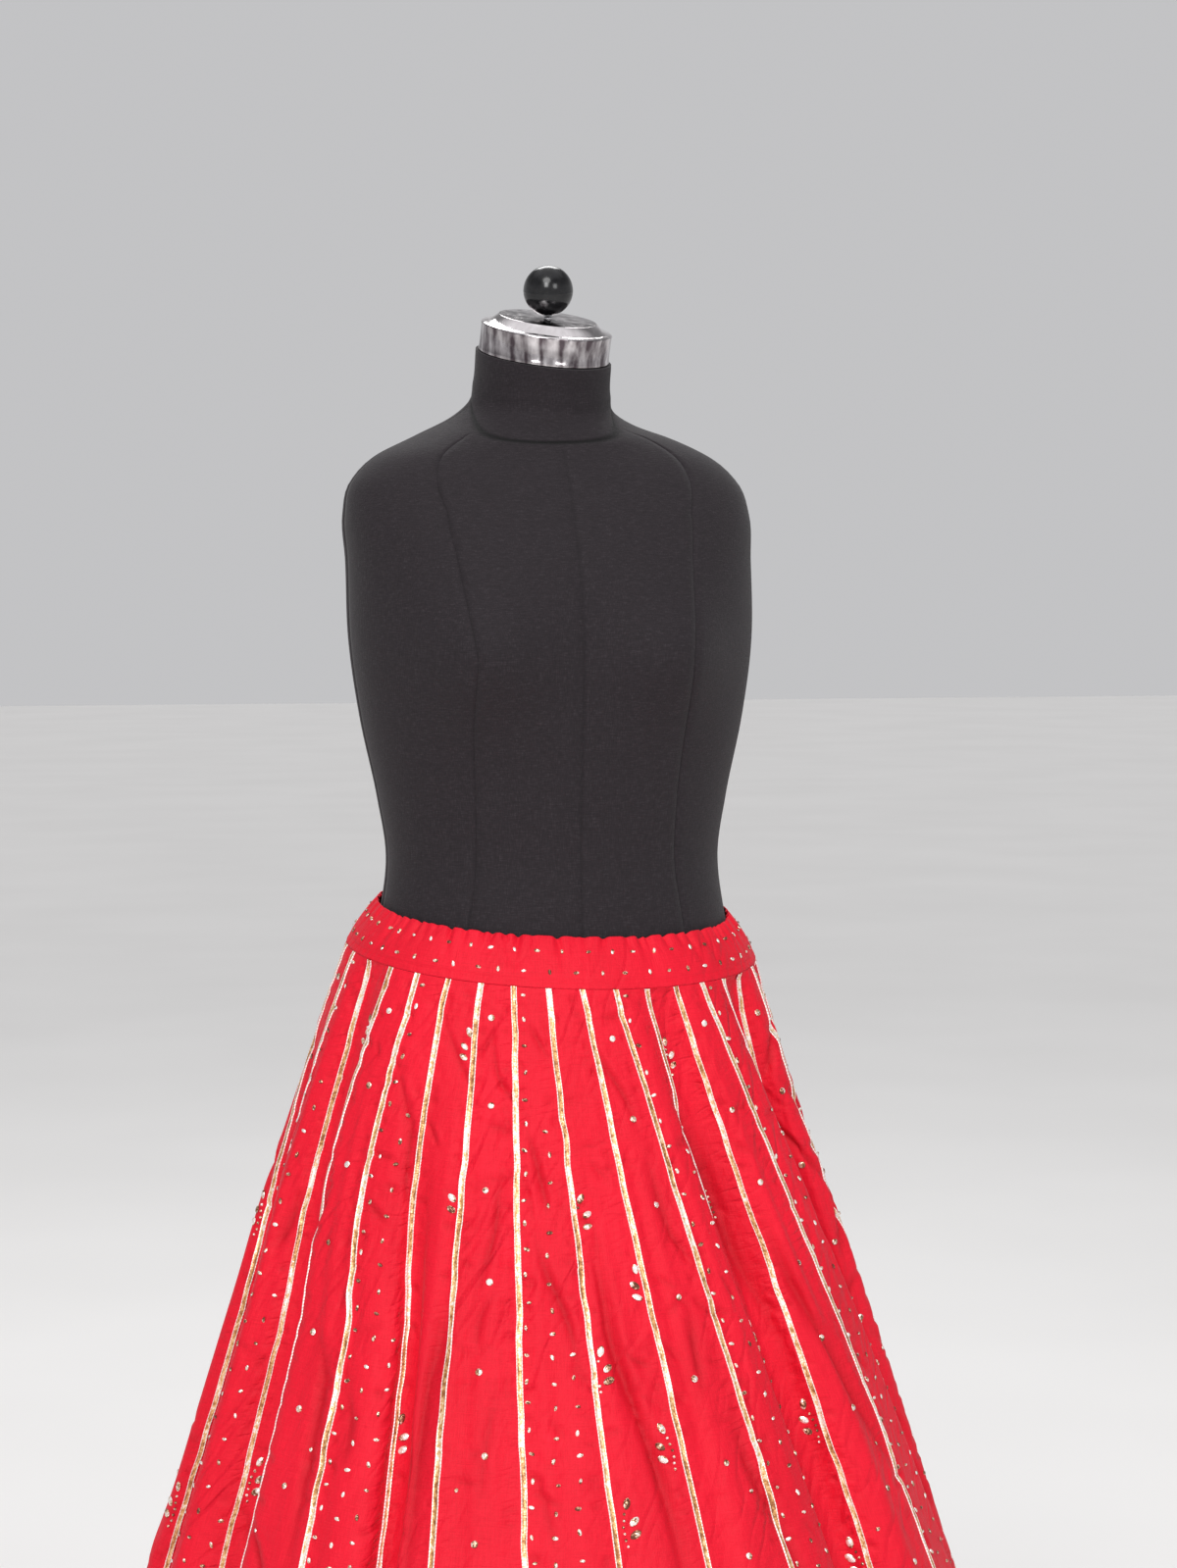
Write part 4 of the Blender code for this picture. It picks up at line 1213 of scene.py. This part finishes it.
def domed(length, breadth, dome, pointed=1.0):
    """The points and faces of a low dome over an oval: its rings, then its middle."""
    count = dome.corners
    outline = oval(length, breadth, count, pointed)
    rings = [np.column_stack((outline * share, np.full(count, height)))
             for share, height in zip(dome.shares, dome.heights)]
    quads = grid_faces(len(rings), count, closed=True)
    faces = [(here, beside, up_beside, up) for here, up, up_beside, beside in quads]
    last = (len(rings) - 1) * count
    middle = len(rings) * count
    faces += [(last + corner, last + (corner + 1) % count, middle) for corner in range(count)]
    return np.concatenate(rings + [np.array([[0.0, 0.0, dome.heights[-1]]])]), faces


# ---------------------------------------------------------------- the skirt's pieces
def shell_faces(rows, columns, step):
    """Faces of a closed thin shell: a fine outer grid, a coarse inner one and their four edges.

    rows and columns count the outer grid's quads, and each inner quad is step of them wide.
    """
    across = columns + 1
    inner_rows = rows // step
    inner_columns = columns // step
    base = (rows + 1) * across

    def outer(row, column):
        return row * across + column

    def inner(row, column):
        return base + row * (inner_columns + 1) + column

    faces = grid_faces(rows + 1, across)
    for row in range(inner_rows):
        for column in range(inner_columns):
            faces.append((inner(row, column), inner(row, column + 1), inner(row + 1, column + 1),
                          inner(row + 1, column)))
    for column in range(inner_columns):
        run = range(column * step, (column + 1) * step + 1)
        faces.append(tuple(outer(0, at) for at in run) + (inner(0, column + 1), inner(0, column)))
        faces.append(tuple(outer(rows, at) for at in reversed(run))
                     + (inner(inner_rows, column), inner(inner_rows, column + 1)))
    for row in range(inner_rows):
        run = range(row * step, (row + 1) * step + 1)
        faces.append(tuple(outer(at, 0) for at in reversed(run)) + (inner(row, 0), inner(row + 1, 0)))
        faces.append(tuple(outer(at, columns) for at in run)
                     + (inner(row + 1, inner_columns), inner(row, inner_columns)))
    return faces


def build_kalis(cloth, material):
    lengths = cloth.downs * KALI_LENGTH
    shares = np.arange(KALI_COLUMNS + 1) / KALI_COLUMNS
    faces = shell_faces(CLOTH_ROWS, KALI_COLUMNS, INNER_STEP)
    coarse = slice(None, None, INNER_STEP)

    def both_faces(outer, inner):
        width = outer.shape[2:] or (1,)
        return np.concatenate((outer.reshape(-1, *width), inner.reshape(-1, *width)))

    for index in range(KALI_COUNT):
        columns = (index * KALI_COLUMNS + np.arange(KALI_COLUMNS + 1)) % cloth.columns
        points = both_faces(cloth.points[:, columns], cloth.inner_points[coarse][:, columns[coarse]])
        u = index * KALI_HEM_WIDTH + shares[None, :] * cloth.widths[:, None]
        uv = np.stack((u, np.broadcast_to(lengths[:, None], u.shape)), axis=-1)
        piece = add_piece(f"kali_cloth_{index + 1:02d}", points, faces, [material],
                          uv=both_faces(uv, uv[coarse, coarse]))
        # Painted shade in the creases, carried to the material on each point.
        shade = cloth.shade[:, columns]
        edge = np.minimum(shares, 1.0 - shares)[None, :] * cloth.widths[:, None]
        mark(piece, "crease", both_faces(shade, shade[coarse, coarse]).ravel())
        mark(piece, "edge", both_faces(edge, edge[coarse, coarse]).ravel())
        piece.data.set_sharp_from_angle(angle=math.radians(75))
        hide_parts(f"kali_{index + 1:02d}")


def build_strips(cloth, materials):
    """The gota ribbon on every seam, in a few joined pieces."""
    generator = np.random.default_rng(KALI_COUNT)
    downs = np.arange(STRIP_ROWS + 1) / STRIP_ROWS
    lengths = downs * KALI_LENGTH
    across = np.array([point.across for point in STRIP_SECTION])
    heights = np.array([point.height for point in STRIP_SECTION])
    count = len(STRIP_SECTION)
    foil = np.abs(np.arange(count) - count // 2) <= 1
    tipping = (across / GOTA_WIDTH - 0.5) * 2.0
    strip_faces = grid_faces(STRIP_ROWS + 1, count)
    threads = [int(face % (count - 1) in STRIP_THREAD_FACES) for face in range(len(strip_faces))]
    for name, first, last in STRIP_GROUPS:
        points = []
        faces = []
        uv = []
        for seam in range(first, last):
            kink = smooth_chance(generator, lengths, KINK_PITCH)
            tilt = smooth_chance(generator, lengths, TILT_PITCH)
            crush = smooth_chance(generator, lengths, CRUSH_PITCH)
            start = GOTA_EDGE + STRIP_KINK * (kink[:, None] + 1.0)
            places = seam + (start + across) / kali_width(downs)[:, None]
            spot, _, _, out = cloth.spots(places, np.broadcast_to(downs[:, None], places.shape))
            lift = heights + STRIP_TILT * tilt[:, None] * tipping * (heights > 0)
            lift = lift + STRIP_CRUSH * crush[:, None] * foil + STRIP_TILT * (heights > 0)
            base = len(points) * len(spot) * count
            points.append((spot + out * lift[..., None]).reshape(-1, 3))
            faces += [tuple(base + corner for corner in face) for face in strip_faces]
            u = seam * KALI_HEM_WIDTH + np.broadcast_to(across, places.shape)
            v = np.broadcast_to(lengths[:, None] + seam * SEAM_SHIFT, places.shape)
            uv.append(np.stack((u, v), axis=-1).reshape(-1, 2))
        add_piece(name, np.concatenate(points), faces, materials,
                  threads * (last - first), np.concatenate(uv))


def dense_dot_places():
    """Rows of small dots on every third kali, one more column as it widens."""
    places = []
    first = 2.0 * GOTA_EDGE + GOTA_WIDTH + DOT_MARGIN
    for kali in range(DENSE, KALI_COUNT, 3):
        row = 0
        length = DOTS_START
        while length < KALI_LENGTH - HEM_TURN:
            down = length / KALI_LENGTH
            width = kali_width(down)
            columns = 1 + int((width - first - DOT_FAR_MARGIN) / DOT_COLUMN_PITCH)
            for column in range(columns):
                place = kali + (first + DOT_COLUMN_PITCH * column) / width
                places.append((place, down - EVEN_COLUMN_LIFT * (column % 2 == 0), row + column))
            length += DOT_ROW_PITCH
            row += 1
    return places


def build_dense_dots(cloth, chance, material):
    dot = domed(DOT_LENGTH, DOT_BREADTH, DOT_DOME)
    placed = dense_dot_places()
    places = [place + chance.uniform(*DENSE_CHANCES.aside) / kali_width(down) for place, down, _ in placed]
    downs = [down + chance.uniform(*DENSE_DOWN) for _, down, _ in placed]
    turns = [90.0 * (order % 2) + chance.uniform(*DENSE_CHANCES.turn) for _, _, order in placed]
    spots = tilted(cloth.spots(places, downs), chance, DENSE_CHANCES.lean)
    sizes = [chance.uniform(*DENSE_CHANCES.size) for _ in placed]
    scatter("badla_dots", [dot], spots, turns, [0] * len(placed), sizes, material)


def build_single_dots(cloth, chance, material):
    single = domed(SINGLE_DIAMETER, SINGLE_DIAMETER, SINGLE_DOME)
    small = domed(SMALL_DIAMETER, SMALL_DIAMETER * 0.85, SMALL_DOME)
    placed = []
    for kali in range(SPARSE, KALI_COUNT, 3):
        length = chance.uniform(*SINGLE_START)
        while length < KALI_LENGTH - HEM_TURN:
            down = length / KALI_LENGTH
            width = kali_width(down)
            middle = kali + (0.5 + GOTA_WIDTH / 2 / width)
            placed.append((middle + chance.uniform(*SINGLE_CHANCES.aside), down, 0))
            if width > SMALL_FROM_WIDTH and chance.random() < SMALL_SHARE:
                aside = chance.choice((-SMALL_ASIDE, SMALL_ASIDE))
                below = SINGLE_PITCH / 2 / KALI_LENGTH * chance.uniform(*SMALL_BELOW)
                placed.append((middle + aside, down + below, 1))
            length += SINGLE_PITCH * chance.uniform(*SINGLE_PITCHES)
    places, downs, kinds = zip(*placed)
    spots = tilted(cloth.spots(places, downs), chance, SINGLE_CHANCES.lean)
    turns = [chance.uniform(*SINGLE_CHANCES.turn) for _ in places]
    sizes = [chance.uniform(*SINGLE_CHANCES.size) for _ in places]
    scatter("single_dots", [single, small], spots, turns, kinds, sizes, material)


def tilted(spots, chance, most):
    """The same spots, each leaned a few degrees, as hand-pressed metal lies."""
    place, across, up, out = spots
    lean = np.tan(np.radians([[chance.uniform(-most, most), chance.uniform(-most, most)] for _ in place]))
    out = unit(out + across * lean[:, :1] + up * lean[:, 1:])
    across = unit(across - out * np.sum(across * out, axis=-1, keepdims=True))
    return place + out * METAL_LIFT, across, np.cross(out, across), out


def sprig_places():
    """Each sprig's kali, its edge, its share down and how much of it the ribbon covers."""
    runs = {(run.kali, run.side): run.sprigs for run in SPRIG_RUNS}
    chance = random.Random(SPRIG_SEED)
    placed = []
    for kali in range(SPRIGGED, KALI_COUNT, 3):
        first = chance.uniform(*FIRST_SPRIG)
        for side in (1, -1):
            guessed = (Sprig(first if side > 0 else first + SPRIG_PITCH / 2, 0.006),)
            shown = runs.get((kali, side), guessed)
            placed += [(kali, side, sprig.down, sprig.covered) for sprig in shown]
            down = shown[-1].down + SPRIG_PITCH
            while down < SPRIGS_END:
                placed.append((kali, side, down, chance.choice(SPRIGS_COVERED)))
                down += SPRIG_PITCH * chance.uniform(*SPRIG_PITCHES)
    return placed


def build_sprigs(cloth, material):
    """Sprigs of leaves and beads that come out from under the ribbons' edges."""
    leaf = domed(LEAF_LENGTH, LEAF_BREADTH, LEAF_DOME, pointed=LEAF_POINT)
    bead = domed(BEAD_DIAMETER, BEAD_DIAMETER, BEAD_DOME)
    chance = random.Random(LEAF_SEED)
    placed = []

    def put(kali, side, down, away, turn, kind, size):
        """Places a leaf or bead, unless the ribbon covers it."""
        if away < SPRIG_CLEAR:
            return
        if side > 0:
            place = kali + (2.0 * GOTA_EDGE + GOTA_WIDTH + away) / kali_width(down)
        else:
            place = kali + 1.0 - away / kali_width(down)
            turn = 180.0 - turn
        placed.append((place, down, turn, kind, size))

    for kali, side, down, covered in sprig_places():
        room = min(1.0, 0.80 + 0.6 * down)
        leaves = SPRIG_LEAVES[1:] if chance.random() < FIRST_LEAF_MISSING else SPRIG_LEAVES
        for part in leaves:
            turn = part.turn + chance.uniform(*LEAF_TURNS)
            put(kali, side, down - part.up * room / KALI_LENGTH, (part.away - covered) * room, turn, 0,
                room * chance.uniform(*LEAF_SIZES))
        for part in SPRIG_BEADS:
            away = (part.away - covered) * room + chance.uniform(*BEAD_ASIDES)
            put(kali, side, down - part.up * room / KALI_LENGTH, away, 0.0, 1,
                chance.uniform(*BEAD_SIZES) * (0.6 + 0.4 * room))
    places, downs, turns, kinds, sizes = zip(*placed)
    spots = tilted(cloth.spots(places, downs), chance, SPRIG_LEAN)
    scatter("sprigs", [leaf, bead], spots, turns, kinds, sizes, material)


# ---------------------------------------------------------------- waistband
def seam_outline(angles, out):
    """Points of the waistband's lower edge, moved out of the seam's ellipse."""
    x = SEAM_HALF_WIDTH * np.sin(angles)
    y = -SEAM_HALF_WIDTH * SEAM_ROUNDNESS * np.cos(angles)
    normal = unit(np.stack((SEAM_ROUNDNESS * np.sin(angles), -np.cos(angles)), axis=-1))
    x = x + normal[:, 0] * out
    y = y + normal[:, 1] * out
    return np.stack((x, y, SEAM_HEIGHT + SEAM_GAP + waist_rise(x, y)), axis=-1), normal


def seat_outline(angles, out):
    """Points round the form where the waistband's top edge sits, moved out of the form."""
    heights = np.full(angles.shape, BAND_TOP_HEIGHT)
    for _ in range(6):
        points = form_outline(angles, heights, out)
        heights = BAND_TOP_HEIGHT + waist_rise(points[:, 0], points[:, 1])
    return points


def gathers():
    """Uneven gathers round the band: each one's turn, strength, reach down and slant."""
    chance = random.Random(GATHER_SEED)
    made = []
    turn = 0.0
    while turn < 2.0 * math.pi:
        strength = chance.uniform(*GATHER.strength)
        made.append((turn, strength, chance.uniform(*GATHER.reach), chance.uniform(*GATHER.slant)))
        turn += 2.0 * math.pi / GATHERS * chance.uniform(*GATHER.pitch)
    return made


def gathered(angles, up, made):
    """How deep the gathers lie at angles round the band, at a share up it."""
    crease = np.zeros(angles.shape)
    for turn, strength, reach, slant in made:
        offset = (angles - turn - slant * (1.0 - up) + math.pi) % (2.0 * math.pi) - math.pi
        narrow = GATHER_HALF_WIDTH + GATHER_SPREAD * (1.0 - up)
        alive = ease((up - (1.0 - 2.0 * reach)) / (2.0 * reach))
        crease += strength * alive * np.exp(-0.5 * (offset / narrow) ** 2)
    return np.minimum(crease, GATHER_MOST)


def band_rows(angles):
    """The band's outer face, in rows of points from its top edge down."""
    foot, normal = seam_outline(angles, BAND_FOOT_OUT)
    top = seat_outline(angles, BAND_CLEARANCE + BAND_THICKNESS)
    made = gathers()
    rows = []
    for step in range(BAND_ROWS + 1):
        up = 1.0 - step / BAND_ROWS
        crease = gathered(angles, up, made)
        swell = BAND_BULGE * math.sin(math.pi * up)
        stitched = BAND_STITCH_DEPTH * math.exp(-0.5 * ((up - BAND_STITCH_UP) / BAND_STITCH_HALF) ** 2)
        out = swell - stitched - GATHER_DEPTH * (crease - GATHER_RISE * up) * (0.35 + 0.65 * up)
        row = foot * (1.0 - up) + top * up
        row[:, :2] += normal * out[:, None]
        row[:, 2] -= GATHER_LIFT * crease * up ** 4
        rows.append(row)
    return np.array(rows)


def build_waistband(material, metal):
    angles = 2.0 * math.pi * np.arange(BAND_COLUMNS) / BAND_COLUMNS
    rows = band_rows(angles)
    rolled = [rows[0] - outward(angles) * roll.inward + (0.0, 0.0, roll.up) for roll in BAND_ROLL]
    points = np.concatenate([np.concatenate((row, row[:1])) for row in rolled + list(rows)])
    count = len(BAND_ROLL) + len(rows)
    u = BAND_CLOTH_START + np.arange(BAND_COLUMNS + 1) * seam_ring() / BAND_COLUMNS
    v = np.linspace(0.0, BAND_CUT[1], count)
    uv = np.stack(np.broadcast_arrays(u[None, :], v[:, None]), axis=-1).reshape(-1, 2)
    piece = add_piece("waistband_cloth", points, grid_faces(count, BAND_COLUMNS + 1), [material],
                      uv=uv)
    mark(piece, "edge", np.full(len(points), PUCKER_REACH))
    weld = piece.modifiers.new("close", "WELD")
    weld.merge_threshold = 0.00001
    solidify = piece.modifiers.new("thickness", "SOLIDIFY")
    solidify.thickness = BAND_WALL
    solidify.offset = -1.0
    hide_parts("waistband")
    build_band_dots(rows, metal)


def build_band_dots(rows, metal):
    """Two rounds of small dots along the band."""
    chance = random.Random(BAND_DOT_SEED)
    dot = domed(DOT_LENGTH * BAND_DOT_SIZE, DOT_BREADTH * BAND_DOT_SIZE, BAND_DOT_DOME)
    count = int(round(seam_ring() / BAND_DOT_PITCH / 2)) * 2
    picked = []
    turns = []
    for order, share in enumerate(BAND_DOT_ROWS):
        for index in range(count):
            turn = (index + 0.5 * order + chance.uniform(*BAND_CHANCES.aside)) / count
            picked.append((int(share * BAND_ROWS), int(turn * BAND_COLUMNS) % BAND_COLUMNS))
            turns.append(90.0 * ((index + order) % 2) + chance.uniform(*BAND_CHANCES.turn))
    here = tuple(np.array(picked).T)
    alongs = np.roll(rows, -1, axis=1) - np.roll(rows, 1, axis=1)
    out = unit(np.cross(np.gradient(rows, axis=0), alongs))[here]
    across = alongs[here]
    across = unit(across - out * np.sum(across * out, axis=-1, keepdims=True))
    spots = tilted((rows[here], across, np.cross(out, across), out), chance, BAND_CHANCES.lean)
    sizes = [chance.uniform(*BAND_CHANCES.size) for _ in turns]
    scatter("band_dots", [dot], spots, turns, [0] * len(turns), sizes, metal)


# ---------------------------------------------------------------- dress form and stand
def outward(angles):
    return np.stack((np.sin(angles), -np.cos(angles), np.zeros(angles.shape)), axis=-1)


def below_neck_seam(points):
    """How far each point lies below the plane of the seam round the neck's foot."""
    centre = float(through_table("centre", NECK_SEAM_HEIGHT))
    plane = NECK_SEAM_HEIGHT + math.tan(NECK_SEAM_LEAN) * (points[:, 1] - centre)
    return plane - math.tan(NECK_SEAM_ROLL) * points[:, 0] - points[:, 2]


def form_turns():
    """Turns round the form in degrees, each with its share of a panel seam's depth and its
    distance from that seam, in seam half widths."""
    turns = []
    for seam, after in zip(FORM_TURNS[:-1], FORM_TURNS[1:]):
        turns += [(seam, share, aside) for aside, share in SEAM_GROOVE]
        count = int((after - seam) / FORM_COLUMN_STEP)
        turns += [(seam + (after - seam) * step / count, 0.0, 0.0) for step in range(1, count)]
    return np.array(turns)


def form_heights():
    """Even rows up the form, and fine ones where the neck's seam runs."""
    low = FORM_SECTIONS[0].height
    high = FORM_SECTIONS[-1].height
    even = np.linspace(low, high, int((high - low) / FORM_ROW_STEP) + 1)
    neck = np.arange(*NECK_ROWS)
    outside = even[(even < neck[0] - 0.001) | (even > neck[-1] + 0.001)]
    return np.sort(np.concatenate((outside, neck)))[::-1]


def build_form(material):
    known = [seam.height for seam in PANEL_SEAMS]
    turns, shares, asides = form_turns().T
    rings = []
    painted_seam_shade = []
    for height in form_heights():
        front = np.interp(height, known, [seam.front_panel for seam in PANEL_SEAMS])
        back = np.interp(height, known, [seam.back_panel for seam in PANEL_SEAMS])
        drawn = (0.0, front, 90.0, back, 180.0, 360.0 - back, 270.0, 360.0 - front, 360.0)
        aside = asides * FORM_SEAM_HALF / float(through_table("half_width", height))
        angles = np.radians(np.interp(turns, FORM_TURNS, drawn)) + aside
        ring = form_outline(angles, height)
        below = below_neck_seam(ring)
        panel_seam = shares * ease(below / FORM_ROW_STEP)
        neck_seam = np.exp(-0.5 * (below / NECK_SEAM_HALF) ** 2)
        depth = np.maximum(FORM_SEAM_DEPTH * panel_seam, NECK_SEAM_DEPTH * neck_seam)
        rings.append(ring - outward(angles) * depth[:, None])
        # Painted shade in the seam grooves, strongest round the neck.
        painted_seam_shade.append(np.maximum(PANEL_SEAM_SHADE * panel_seam, neck_seam))
    piece = add_piece("form_cover", np.concatenate(rings), tube_faces(len(rings), len(turns)), [material])
    mark(piece, "seam", np.concatenate(painted_seam_shade))
    piece.data.set_sharp_from_angle(angle=math.radians(60))
    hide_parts("form_torso")


def neck_tilt():
    """The neck's lean and roll in radians, and the direction that its axis points in."""
    neck = FORM_SECTIONS[-1]
    roll = math.radians(neck.roll)
    lean = math.atan(math.tan(math.radians(neck.lean)) * math.cos(roll))
    along = np.array((math.cos(lean) * math.sin(roll), -math.sin(lean), math.cos(lean) * math.cos(roll)))
    return lean, roll, along


def cap_seat():
    neck = FORM_SECTIONS[-1]
    return np.array((0.0, neck.centre, neck.height)) + neck_tilt()[2] * SEAT_GAP


def inset(radius, points):
    return [(radius - point.inset, point.height) for point in points]


def build_cap(metal):
    """The plated cap: a flat top, a sloping shoulder, an upright side and a rolled rim."""
    lean, roll, _ = neck_tilt()
    profile = [(0.0006, CAP_HEIGHT), (CAP_TOP_RADIUS - CAP_EDGE, CAP_HEIGHT)]
    profile += arc(CAP_EDGE, CAP_TOP_RADIUS - CAP_EDGE, CAP_HEIGHT - CAP_EDGE, 78.0, 34.0, 4)
    profile += inset(CAP_RADIUS, CAP_SHOULDER)
    profile += arc(CAP_EDGE, CAP_RADIUS - CAP_EDGE, CAP_SIDE - CAP_EDGE + 0.0006, 66.0, 0.0, 5)
    profile += inset(CAP_RADIUS, CAP_WALL)
    profile += arc(CAP_RIM, CAP_RADIUS - CAP_RIM, CAP_RIM, 0.0, -80.0, 3) + [(CAP_RADIUS - 0.0030, 0.0)]
    piece = add_turned("cap_plated", profile, metal, "cap_chrome", cap_seat(), lean, roll)
    # The shoulder, which the painted dark reflections leave bright.
    spared_shoulder_points = [height > CAP_SIDE and radius > CAP_TOP_RADIUS - CAP_EDGE for radius, height in profile]
    mark(piece, "shoulder_without_painted_reflection", np.repeat(np.array(spared_shoulder_points, dtype=float), TURNED_STEPS))
    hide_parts("neck_cap")


def build_knob(gloss, stem_metal):
    """The ball, with its mould ridge. It is screwed in a little crooked, on a short bright stem."""
    lean, roll, along = neck_tilt()
    tilt = (lean, roll - KNOB_TURNED_BACK)
    seat = cap_seat() + along * (CAP_HEIGHT + SEAT_GAP)
    stem_angle = -math.degrees(math.acos(STEM_RADIUS / KNOB_RADIUS))
    ball = arc(KNOB_RADIUS, 0.0, KNOB_CENTRE, 88.0, 1.2, 20)
    ball += [(KNOB_RADIUS + KNOB_RIDGE, KNOB_CENTRE)]
    ball += arc(KNOB_RADIUS, 0.0, KNOB_CENTRE, -1.2, stem_angle, 20)
    piece = add_turned("knob_ball", ball, gloss, "knob_gloss", seat, *tilt)
    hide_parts("cap_knob")
    foot = inset(STEM_RADIUS, STEM_FOOT)
    stem = [(foot[0][0], KNOB_CENTRE - KNOB_RADIUS + STEM_SUNK)] + foot
    add_turned("knob_stem", stem, stem_metal, "pole_steel", seat, *tilt)


def build_pole(metal):
    top = FORM_SECTIONS[0].height - SEAT_GAP
    foot = BASE_BOSS_HEIGHT + SEAT_GAP
    profile = [(POLE_RADIUS - POLE_EDGE, top), (POLE_RADIUS, top - POLE_EDGE)]
    profile += [(POLE_RADIUS, foot + POLE_EDGE), (POLE_RADIUS - POLE_EDGE, foot)]
    piece = add_turned("pole_tube", profile, metal, "pole_steel", (0.0, 0.0, 0.0))
    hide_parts("stand_pole")


def build_base(paint):
    """The round plate: a boss that holds the pole, a dished top and a rounded rim."""
    boss = BASE_BOSS_RADIUS - BASE_EDGE - BOSS_EDGE
    profile = [(0.0010, BASE_BOSS_HEIGHT)] + arc(BOSS_EDGE, boss, BASE_BOSS_HEIGHT - BOSS_EDGE, 90.0, 20.0, 4)
    profile += [(BASE_BOSS_RADIUS - 0.0008, BASE_DISH_HEIGHT + 0.0012)]
    profile += [(BASE_BOSS_RADIUS + 0.0014, BASE_DISH_HEIGHT)]
    profile += [(BASE_RADIUS - BASE_EDGE - 0.002, BASE_RIM_HEIGHT)]
    profile += arc(BASE_EDGE, BASE_RADIUS - BASE_EDGE, BASE_RIM_HEIGHT - BASE_EDGE, 84.0, 0.0, 6)
    profile += [(BASE_RADIUS, 0.0010), (BASE_RADIUS - 0.0010, 0.0)]
    piece = add_turned("base_plate", profile, paint, "base_enamel", (0.0, 0.0, 0.0))
    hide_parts("stand_base")


# ---------------------------------------------------------------- stage, light and camera
def build_floor():
    half = FLOOR_SIZE / 2
    mesh = bpy.data.meshes.new("studio_floor")
    mesh.from_pydata([(-half, -half, 0.0), (half, -half, 0.0), (half, half, 0.0), (-half, half, 0.0)], [],
                     [(0, 1, 2, 3)])
    pale = Finish("floor_pale")
    pale.set(roughness=0.7, specular=0.2)
    mottle = pale.noise(pale.solid_place(1.2))
    pale.colour(pale.ramp(mottle, (0.3, (0.80, 0.79, 0.78)), (0.7, (0.83, 0.82, 0.81))))
    mesh.materials.append(pale.material)
    floor = bpy.data.objects.new("studio_floor", mesh)
    bpy.context.scene.collection.objects.link(floor)


def add_to_scene(name, data, place, along):
    """A light or camera that looks along a direction."""
    made = bpy.data.objects.new(name, data)
    made.location = place
    made.rotation_euler = Vector(along).to_track_quat("-Z", "Y").to_euler()
    bpy.context.scene.collection.objects.link(made)
    return made


def build_light():
    for light in AREA_LIGHTS:
        data = bpy.data.lights.new(light.name, "AREA")
        data.shape = "RECTANGLE"
        data.size, data.size_y = light.size
        data.energy = light.watts
        add_to_scene(light.name, data, light.place, Vector(LIGHT_TARGET) - Vector(light.place))
    data = bpy.data.lights.new("soft_above", "SUN")
    data.energy = SUN_STRENGTH
    data.angle = SUN_ANGLE
    add_to_scene("soft_above", data, (0.0, 0.0, 0.0), SUN_ALONG)


def build_room():
    """A pale world, darker round the sides, so that the metal has something to mirror."""
    world = bpy.data.worlds.new("pale_studio")
    bpy.context.scene.world = world
    world.use_nodes = True
    nodes = world.node_tree.nodes
    links = world.node_tree.links
    coordinates = nodes.new("ShaderNodeTexCoord")
    split = nodes.new("ShaderNodeSeparateXYZ")
    links.new(coordinates.outputs["Generated"], split.inputs[0])
    room = nodes.new("ShaderNodeValToRGB")
    while len(room.color_ramp.elements) < len(ROOM_SHADES):
        room.color_ramp.elements.new(0.5)
    for element, (position, shade) in zip(room.color_ramp.elements, ROOM_SHADES):
        element.position = position
        element.color = (shade, shade, shade * ROOM_BLUE, 1.0)
    links.new(split.outputs["Z"], room.inputs["Fac"])
    background = nodes["Background"]
    links.new(room.outputs["Color"], background.inputs["Color"])
    background.inputs["Strength"].default_value = ROOM_STRENGTH


def build_camera():
    data = bpy.data.cameras.new("photo_camera")
    data.sensor_width = SENSOR
    data.lens = FOCAL_PIXELS / PHOTO_HEIGHT * SENSOR
    data.shift_x = AXIS_LEFT_PIXELS / PHOTO_HEIGHT
    along = Vector(CAMERA_TARGET) - Vector(CAMERA_PLACE)
    bpy.context.scene.camera = add_to_scene("photo_camera", data, CAMERA_PLACE, along)


def main():
    bpy.context.scene.view_settings.view_transform = "Standard"
    red = red_cloth()
    dot_metal = bright_metal("badla_metal")
    steel = brushed_steel()
    dots_chance = random.Random(DOT_SEED)
    cloth = Cloth()
    build_kalis(cloth, red)
    build_strips(cloth, [gota_foil(), gota_thread()])
    build_dense_dots(cloth, dots_chance, dot_metal)
    build_single_dots(cloth, dots_chance, dot_metal)
    build_sprigs(cloth, bright_metal("leaf_metal"))
    build_waistband(red, dot_metal)
    build_form(black_jersey())
    build_cap(chrome())
    build_knob(black_gloss(), steel)
    build_pole(steel)
    build_base(base_enamel())
    build_floor()
    build_light()
    build_room()
    build_camera()


main()
